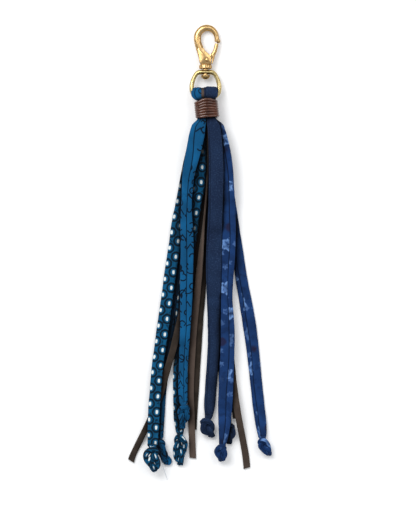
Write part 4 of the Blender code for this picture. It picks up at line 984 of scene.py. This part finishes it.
class Graph:
    """A material and short words for its nodes."""

    def __init__(self, name, roughness, metallic=0.0):
        self.mat = bpy.data.materials.new(name)
        self.mat.use_nodes = True
        self.nodes = self.mat.node_tree.nodes
        self.set(Roughness=roughness, Metallic=metallic)

    def set(self, **values):
        """Values or wires for the shader, with _ for the spaces in a socket's name."""
        for key, value in values.items():
            put(self.nodes["Principled BSDF"].inputs[key.replace("_", " ")], value)

    def node(self, kind, out=0, inputs=(), **props):
        made = self.nodes.new(kind)
        for key, value in props.items():
            setattr(made, key, value)
        for key, value in dict(inputs).items():
            put(made.inputs[key], value)
        return Wire(made.outputs[out])

    def place(self):
        """Coordinates in metres on the part itself."""
        return self.node("ShaderNodeTexCoord", "Object")

    def uv(self, layer):
        """One of the two UV maps: the cloth's centimetres, or the seam's distance (on a lace, its painted
        light) with the share of painted shade.
        """
        return self.node("ShaderNodeUVMap", uv_map=layer)

    def noise(self, vector, scale, detail=2.0, rough=0.5, out=0):
        return self.node("ShaderNodeTexNoise", out, {
            "Vector": vector, "Scale": scale, "Detail": detail, "Roughness": rough})

    def bump(self, height, strength, distance_mm, under=None):
        inputs = {"Height": height, "Strength": strength, "Distance": distance_mm * MM}
        return self.node("ShaderNodeBump", 0, {**inputs, "Normal": under} if under else inputs)

    def blend(self, factor, a, b):
        return self.node("ShaderNodeMix", 2, {0: factor, 6: a, 7: b}, data_type="RGBA")

    def patchy(self, uv, scale, low, high, a, b):
        """A ground that wanders between two colours."""
        return self.blend(self.noise(uv, scale).ramp(low, high), a, b)

    def cells(self, vector, scale, randomness):
        """Offset from the middle of the nearest cell of a loose grid, and three random shares of its own."""
        cell = self.node("ShaderNodeTexVoronoi", "Position", {
            "Vector": vector, "Scale": scale, "Randomness": randomness}, voronoi_dimensions="2D")
        dx, dy = vector.do("SUBTRACT", cell, kind="ShaderNodeVectorMath").parts()[:2]
        colour = Wire(cell.socket.node.outputs["Color"])
        return dx, dy, colour.parts("ShaderNodeSeparateColor")


THREADS = 24.0            # threads in a centimetre
WEAVE_MM = 0.09
TEAL = (0.0045, 0.100, 0.250)
TEAL_DEEP = (0.004, 0.070, 0.175)
INK = (0.002, 0.007, 0.013)
PAINTED_SHADE = 0.92               # strength of the painted shade: how far the colour of cloth and suede is painted darker where they lie deep between their neighbours
MATT = 0.12               # how little light cloth and suede throw back


def woven(g, uv, colour, tone=0.16, seam=0.45):
    """Add thread tone, weave relief, a line of painted shade along the seam's slit, painted shade where the
    cloth lies deep between its neighbours, and sheen to a cloth colour.
    """
    warp, weft = [(way * (TURN * THREADS)).do("SINE") for way in uv.parts()[:2]]
    cross = warp * weft
    slubs = g.noise(uv.times(30.0, 6.0), 1.0) * 0.5 + g.noise(uv.times(5.0, 34.0), 1.0) * 0.5
    shade = slubs + g.noise(uv, 0.9, 3.0) * 0.35
    factor = cross.by(0.10, shade.by(4.0 * tone, 1.0 - 2.7 * tone))
    off, depth = g.uv("seam").parts()[:2]
    # Painted shade: a dark line along the slit of the seam, and the colour painted darker where the cloth
    # lies deep between its neighbours.
    factor = factor * abs(off).ramp(0.045, 0.014).by(-seam, 1.0) * depth.by(-PAINTED_SHADE, 1.0)
    toned = g.node("ShaderNodeVectorMath", 0, {0: colour, "Scale": factor}, operation="SCALE")
    g.set(Base_Color=toned, Normal=g.bump(shade, 0.35, 0.16, g.bump(cross, 0.55, WEAVE_MM)),
          Sheen_Weight=0.05, Sheen_Roughness=0.4, Sheen_Tint=(0.4, 0.6, 1.0), Specular_IOR_Level=MATT)
    return g.mat


def cloth_teal():
    """Teal blue with thin dark curls on the right of the seam and lower down."""
    g = Graph("cloth_teal", 0.85)
    uv = g.uv("cloth")
    x, y = uv.parts()[:2]

    def curls(shift, scale, radius, width, opening, share):
        """Open rings and hooks, one to each cell of a loose grid."""
        dx, dy, own = g.cells(uv.moved(*shift), scale, 0.75)
        line = abs(dx.reach(dy) - own[0].by(0.6 * radius, 0.7 * radius)).ramp(width, 0.45 * width)
        open_part = (dy.do("ARCTAN2", dx) - own[1] * 6.28).do("COSINE")
        return line * own[2].ramp(share, share + 0.01) * open_part.ramp(opening - 0.08, opening + 0.04)

    def hooks(shift, scale, reach, width):
        """Bent strokes."""
        dx, dy, own = g.cells(uv.moved(*shift), scale, 0.8)
        line = abs(abs(dx) - dy.by(0.7, 0.06)).ramp(width * 1.3, 0.5 * width)
        return line * abs(dx).most(abs(dy)).ramp(reach, reach - 0.02) * own[2].ramp(0.35, 0.36)

    ink = curls((0.0, 0.0), 1.45, 0.18, 0.058, -0.5, 0.12)
    ink = ink.most(curls((4.7, 2.9), 0.8, 0.38, 0.050, 0.25, 0.3))
    ink = ink.most(hooks((9.1, 6.3), 1.15, 0.26, 0.050))
    dx, dy, own = g.cells(uv.moved(2.2, 7.7), 1.0, 0.9)
    leaf = ((abs(dx) / 0.10) ** 1.3 + (abs(dy) / 0.22) ** 1.3).ramp(1.05, 0.85) * own[0].ramp(0.45, 0.5)
    low = y.ramp(8.0, 9.5)
    ink = ink.most(leaf * low) * x.ramp(0.42, 0.48).most(low)
    ground = g.patchy(uv, 0.45, 0.35, 0.7, TEAL_DEEP, TEAL)
    return woven(g, uv, g.blend(ink * 0.95, ground, (0.001, 0.004, 0.009)), 0.13, 0.85)


DOT_REPEAT = (1.04, 1.02)       # of the dots, in centimetres across and along: two columns across
DOT_HALF = (0.078, 0.118)       # half size of the white middle


def cloth_dots():
    """Deep teal with a dark ring round each white dot, in half-dropped columns."""
    g = Graph("cloth_dots", 0.85)
    uv = g.uv("cloth")
    x, y = uv.parts()[:2]
    x = x + g.noise(uv, 3.1, 1.0).by(0.06, -0.03)

    def rings(share):
        """Distance from the nearest dot of a column, and the same in sizes of its squarish middle."""
        a, b = [(way - share * size).do("WRAP", size / 2, -size / 2) for way, size in zip((x, y), DOT_REPEAT)]
        square = abs(a / DOT_HALF[0]) ** 3.0 + abs(b / DOT_HALF[1]) ** 3.0
        return a.reach(b), square ** (1 / 3)

    (far_a, near_a), (far_b, near_b) = rings(0.0), rings(0.5)
    ragged = g.noise(uv, 8.0, 1.0).by(0.07, -0.035)
    radius = far_a.do("MINIMUM", far_b) + ragged
    near = near_a.do("MINIMUM", near_b) + ragged * 5.0
    link = g.noise(uv.times(3.0, 2.2), 1.0, 1.0).ramp(0.58, 0.62)
    ground = g.patchy(uv, 0.6, 0.3, 0.7, (0.003, 0.065, 0.145), (0.004, 0.095, 0.215))
    colour = g.blend(link * radius.ramp(0.36, 0.42) * 0.8, ground, INK)
    colour = g.blend(radius.ramp(0.20, 0.235) * radius.ramp(0.37, 0.33) * 0.93, colour, INK)
    colour = g.blend(near.ramp(1.75, 1.2) * 0.55, colour, (0.03, 0.20, 0.36))
    colour = g.blend(near.ramp(1.12, 0.92), colour, (0.80, 0.84, 0.82))
    return woven(g, uv, colour, 0.12, 0.1)


def cloth_navy():
    """Plain dark navy with a pale fleck in the weave."""
    g = Graph("cloth_navy", 0.9)
    uv = g.uv("cloth")
    fleck = g.noise(uv.times(12.0, 14.0), 1.0).ramp(0.50, 0.70)
    colour = g.patchy(uv, 0.5, 0.3, 0.7, (0.0075, 0.0165, 0.046), (0.0105, 0.025, 0.066))
    return woven(g, uv, g.blend(fleck * 0.6, colour, (0.030, 0.058, 0.125)), 0.30)


def cloth_flower():
    """Royal blue with scattered soft pale blossoms and small rusty spots."""
    g = Graph("cloth_flower", 0.85)
    uv = g.uv("cloth")
    bent = uv.do("ADD", g.noise(uv, 3.2, out=1).times(0.16, 0.16, 0.0), kind="ShaderNodeVectorMath")

    def blossoms(shift, scale, size):
        """Distance from a blossom's heart in shares of its wavy edge, and whether the cell has one."""
        dx, dy, own = g.cells(bent.moved(*shift), scale, 0.7)
        petals = (dy.do("ARCTAN2", dx) * 5.0 + own[0] * 6.0).do("COSINE")
        return dx.reach(dy) / petals.by(0.14 * size, 0.8 * size), own[1].ramp(0.22, 0.3)

    big, some = blossoms((0.0, 0.0), 0.46, 0.50)
    small, few = blossoms((3.3, 5.1), 0.8, 0.24)
    ground = g.patchy(uv, 0.7, 0.35, 0.65, (0.007, 0.028, 0.100), (0.010, 0.042, 0.150))
    colour = g.blend(g.noise(uv.moved(2.0, 4.0), 2.0).ramp(0.54, 0.64) * 0.35, ground, (0.003, 0.010, 0.036))
    streak = g.noise(uv.times(7.0, 4.0), 1.0, 1.0).ramp(0.25, 0.60)
    petal = big.ramp(1.1, 0.9) * some * streak * big.ramp(0.35, 0.8).by(0.6, 0.4)
    colour = g.blend(petal * 0.95, colour, (0.15, 0.29, 0.60))
    colour = g.blend(big.ramp(0.25, 0.12) * some * 0.8, colour, (0.010, 0.022, 0.075))
    colour = g.blend(small.ramp(1.1, 0.7) * few * streak * 0.75, colour, (0.075, 0.16, 0.38))
    rust = g.node("ShaderNodeTexVoronoi", 0, {"Vector": bent.moved(1.7, 8.2), "Scale": 0.6}).ramp(0.22, 0.12)
    return woven(g, uv, g.blend(rust * 0.7, colour, (0.016, 0.007, 0.016)), 0.18, 0.75)


def suede():
    """Dark brown suede with nap, worn pale in places, painted lighter on the ends that lie in the light and
    painted darker where shade falls deep between its neighbours.
    """
    g = Graph("suede_brown", 0.95)
    place = g.place()
    nap = g.noise(place, 2600.0, 3.0, 0.65)
    tone, depth = g.uv("seam").parts()[:2]
    # Real wear from the noise, lifted by each end's tone, which is painted light.
    worn = g.noise(place, 130.0, 3.0).ramp(0.35, 0.68).by(0.2, tone)
    colour = g.blend(worn, (0.013, 0.010, 0.007), (0.088, 0.062, 0.051))
    # Pale nap, partly the suede's own and partly painted light: it shows more on the ends painted as lit.
    colour = g.blend(nap.ramp(0.45, 0.75) * tone.by(0.3, 0.12), colour, (0.12, 0.088, 0.068))
    fibre = g.noise(g.uv("cloth").times(18.0, 7.0), 1.0, 3.0)
    # Painted shade: the colour goes nearly black where the lace lies deep between its neighbours.
    g.set(Base_Color=g.blend(depth * PAINTED_SHADE, colour, (0.002, 0.001, 0.001)),
          Normal=g.bump(nap, 0.5, 0.12, g.bump(fibre, 0.4, 0.15)),
          Sheen_Weight=0.10, Sheen_Roughness=0.6, Sheen_Tint=(1.0, 0.85, 0.72), Specular_IOR_Level=MATT)
    return g.mat


def cord_leather():
    """Smooth reddish brown leather cord with fine grain and a soft shine."""
    g = Graph("cord_leather", 0.3)
    place = g.place()
    grain = g.noise(place, 1900.0, 3.0, 0.6)
    patch = g.noise(place, 260.0, 3.0)
    colour = g.blend(patch.ramp(0.3, 0.7), (0.046, 0.013, 0.005), (0.096, 0.029, 0.012))
    g.set(Base_Color=g.blend(grain.ramp(0.55, 0.8) * 0.4, colour, (0.02, 0.008, 0.005)),
          Roughness=patch.by(0.10, 0.15), Specular_IOR_Level=0.3, Coat_Weight=0.65, Coat_Roughness=0.09,
          Normal=g.bump(grain, 0.3, 0.06))
    return g.mat


def thread_white():
    """Matt white sewing thread."""
    g = Graph("thread_white", 0.8)
    g.set(Base_Color=(0.72, 0.76, 0.80))
    return g.mat


def gold_metal(name, worn, bright):
    """Pale gold plating with a soft polish and faint handling marks."""
    g = Graph(name, 0.22, 1.0)
    place = g.place()
    wear, marks = g.noise(place, 420.0), g.noise(place.times(1.0, 0.12), 5200.0)
    g.set(Base_Color=g.blend(wear.ramp(0.3, 0.75), worn, bright), Specular_Tint=(0.42, 0.26, 0.12),
          Roughness=wear.by(0.10, 0.22), Normal=g.bump(marks, 0.01, 0.01))
    return g.mat


# ---------------------------------------------------------------- light, floor and camera
VIEW_CENTRE = (5.43, -8.29)
VIEW_HEIGHT = 520 * 0.65  # rows of the picture, each 0.65 mm high
CAMERA_HEIGHT = 6000.0
SENSOR = 36.0
FLOOR = 3000.0            # half side of the floor
FLOOR_GLOW = 0.12         # lifts the floor to the white of a light table
# Lamps that look at the middle of the part: name, place and size in metres, watts.
LAMPS = (
    ("key", (-0.65, 0.85, 1.4), 0.9, 19.0), ("fill", (0.6, 0.8, 1.5), 0.8, 5.0),
    ("glint_left", (-1.2, 0.45, 0.9), 0.12, 1.4), ("glint_right", (1.2, 0.45, 0.9), 0.12, 1.4),
)
# Painted shade: from height maps of the soft pieces, how deep each point lies between its neighbours, which
# the materials paint as darker colour.
SHADE_CELL = 0.6          # side of one cell of the height maps
SHADE_FROM = (-54.0, -154.0)
SHADE_CELLS = (200, 500)
SHADE_REACH = (0.9, 1.8, 3.0, 4.5)
SHADE_TURNS = 12          # directions to look in
SHADE_OWN = 4.5           # a piece shades itself only where it rises by more than this
SHADE_LEAST = 0.06        # cover that doesn't darken yet


def cells_of(at):
    cell = np.floor((at[:, :2] - SHADE_FROM) / SHADE_CELL).astype(int)
    return cell[:, 0], cell[:, 1]


def read(items, name, width, kind=float):
    """An attribute of all of a mesh's items, a row to each."""
    values = np.empty(len(items) * width, kind)
    items.foreach_get(name, values)
    return values.reshape(-1, width)


def paint_deep_shade(pieces):
    """Paint shade: note in the second UV map how deep each point of the soft pieces lies between its
    neighbours, the share by which the materials paint its colour darker.
    """
    spots, maps = [], []
    for obj in pieces:
        at = read(obj.data.vertices, "co", 3) / MM
        x, y = cells_of(at)
        both = []
        for way in (1.0, -1.0):
            height = np.full(SHADE_CELLS, -99.0)
            for dx in (-1, 0, 1):
                for dy in (-1, 0, 1):
                    np.maximum.at(height, (x + dx, y + dy), way * at[:, 2])
            both.append(height)
        spots.append(at)
        maps.append(both)
    for i, obj in enumerate(pieces):
        mesh, at = obj.data, spots[i]
        if "seam" not in mesh.uv_layers:
            continue
        normal, depth = read(mesh.vertices, "normal", 3), np.zeros(len(at))
        for side, way in enumerate((1.0, -1.0)):
            others = np.max([m[side] for k, m in enumerate(maps) if k != i], axis=0)
            for turn in np.arange(SHADE_TURNS) * TURN / SHADE_TURNS:
                rise = np.zeros(len(at))
                for reach in SHADE_REACH:
                    cell = cells_of(at[:, :2] + reach * np.array((math.cos(turn), math.sin(turn))))
                    own = maps[i][side][cell] - way * at[:, 2]
                    up = np.maximum(others[cell] - way * at[:, 2], np.where(own > SHADE_OWN, own, 0.0))
                    rise = np.maximum(rise, up / reach)
                cover = rise ** 2 / (1.0 + rise ** 2) / SHADE_TURNS
                depth += np.where(way * normal[:, 2] >= 0.0, cover, 0.0)
        layer = mesh.uv_layers["seam"].data
        values = read(layer, "uv", 2)
        # The share of painted shade at each point.
        deep = np.clip((depth - SHADE_LEAST) * 2.0, 0.0, 1.0)
        values[:, 1] = deep[read(mesh.loops, "vertex_index", 1, int)[:, 0]]
        layer.foreach_set("uv", values.ravel())


def add_object(name, data, place):
    obj = bpy.data.objects.new(name, data)
    bpy.context.scene.collection.objects.link(obj)
    obj.location = place
    return obj


def build_stage():
    """A white floor, soft light from above and the left, and a long lens straight above."""
    g = Graph("floor_white", 0.9)
    g.set(Base_Color=(0.93, 0.93, 0.93), Specular_IOR_Level=0.0, Emission_Color=(1.0, 1.0, 1.0),
          Emission_Strength=FLOOR_GLOW)
    corners = [(x * FLOOR, y * FLOOR, -0.05) for x, y in ((-1, -1), (1, -1), (1, 1), (-1, 1))]
    finish_mesh("floor", corners, [(0, 1, 2, 3)], [g.mat], None)

    scene = bpy.context.scene
    scene.world = bpy.data.worlds.new("studio")
    scene.world.use_nodes = True
    sky = scene.world.node_tree.nodes["Background"].inputs
    sky["Color"].default_value, sky["Strength"].default_value = (0.95, 0.97, 1.0, 1.0), 0.52
    for name, place, size, watts in LAMPS:
        lamp = bpy.data.lights.new(name, "AREA")
        lamp.energy, lamp.size = watts, size
        add_object(name, lamp, place).rotation_euler = (-Vector(place)).to_track_quat("-Z", "Y").to_euler()

    lens = bpy.data.cameras.new("above")
    lens.sensor_fit = "VERTICAL"
    lens.sensor_height = SENSOR
    lens.lens = SENSOR * CAMERA_HEIGHT / VIEW_HEIGHT
    scene.camera = add_object("above", lens, [c * MM for c in (*VIEW_CENTRE, CAMERA_HEIGHT)])
    scene.view_settings.view_transform = "Standard"


strands = lay_strands()
soft = [build_tube(piece, strands, mat, seed) for piece, mat, seed in (
    ("fabric_teal", cloth_teal(), 3), ("fabric_dots", cloth_dots(), 13),
    ("fabric_navy", cloth_navy(), 23), ("fabric_flower", cloth_flower(), 33))]
leather = suede()
soft += [build_lace(piece, strands, leather, seed) for piece, seed in (
    ("lace_middle", 43), ("lace_left", 47), ("lace_right", 53))]
soft.append(build_wrap(cord_leather()))
paint_deep_shade(soft)
build_threads(thread_white())
build_metal(gold_metal("gold_ring", (0.52, 0.40, 0.17), (0.64, 0.52, 0.26)),
            gold_metal("gold_hook", (0.50, 0.32, 0.13), (0.62, 0.42, 0.20)))
build_stage()
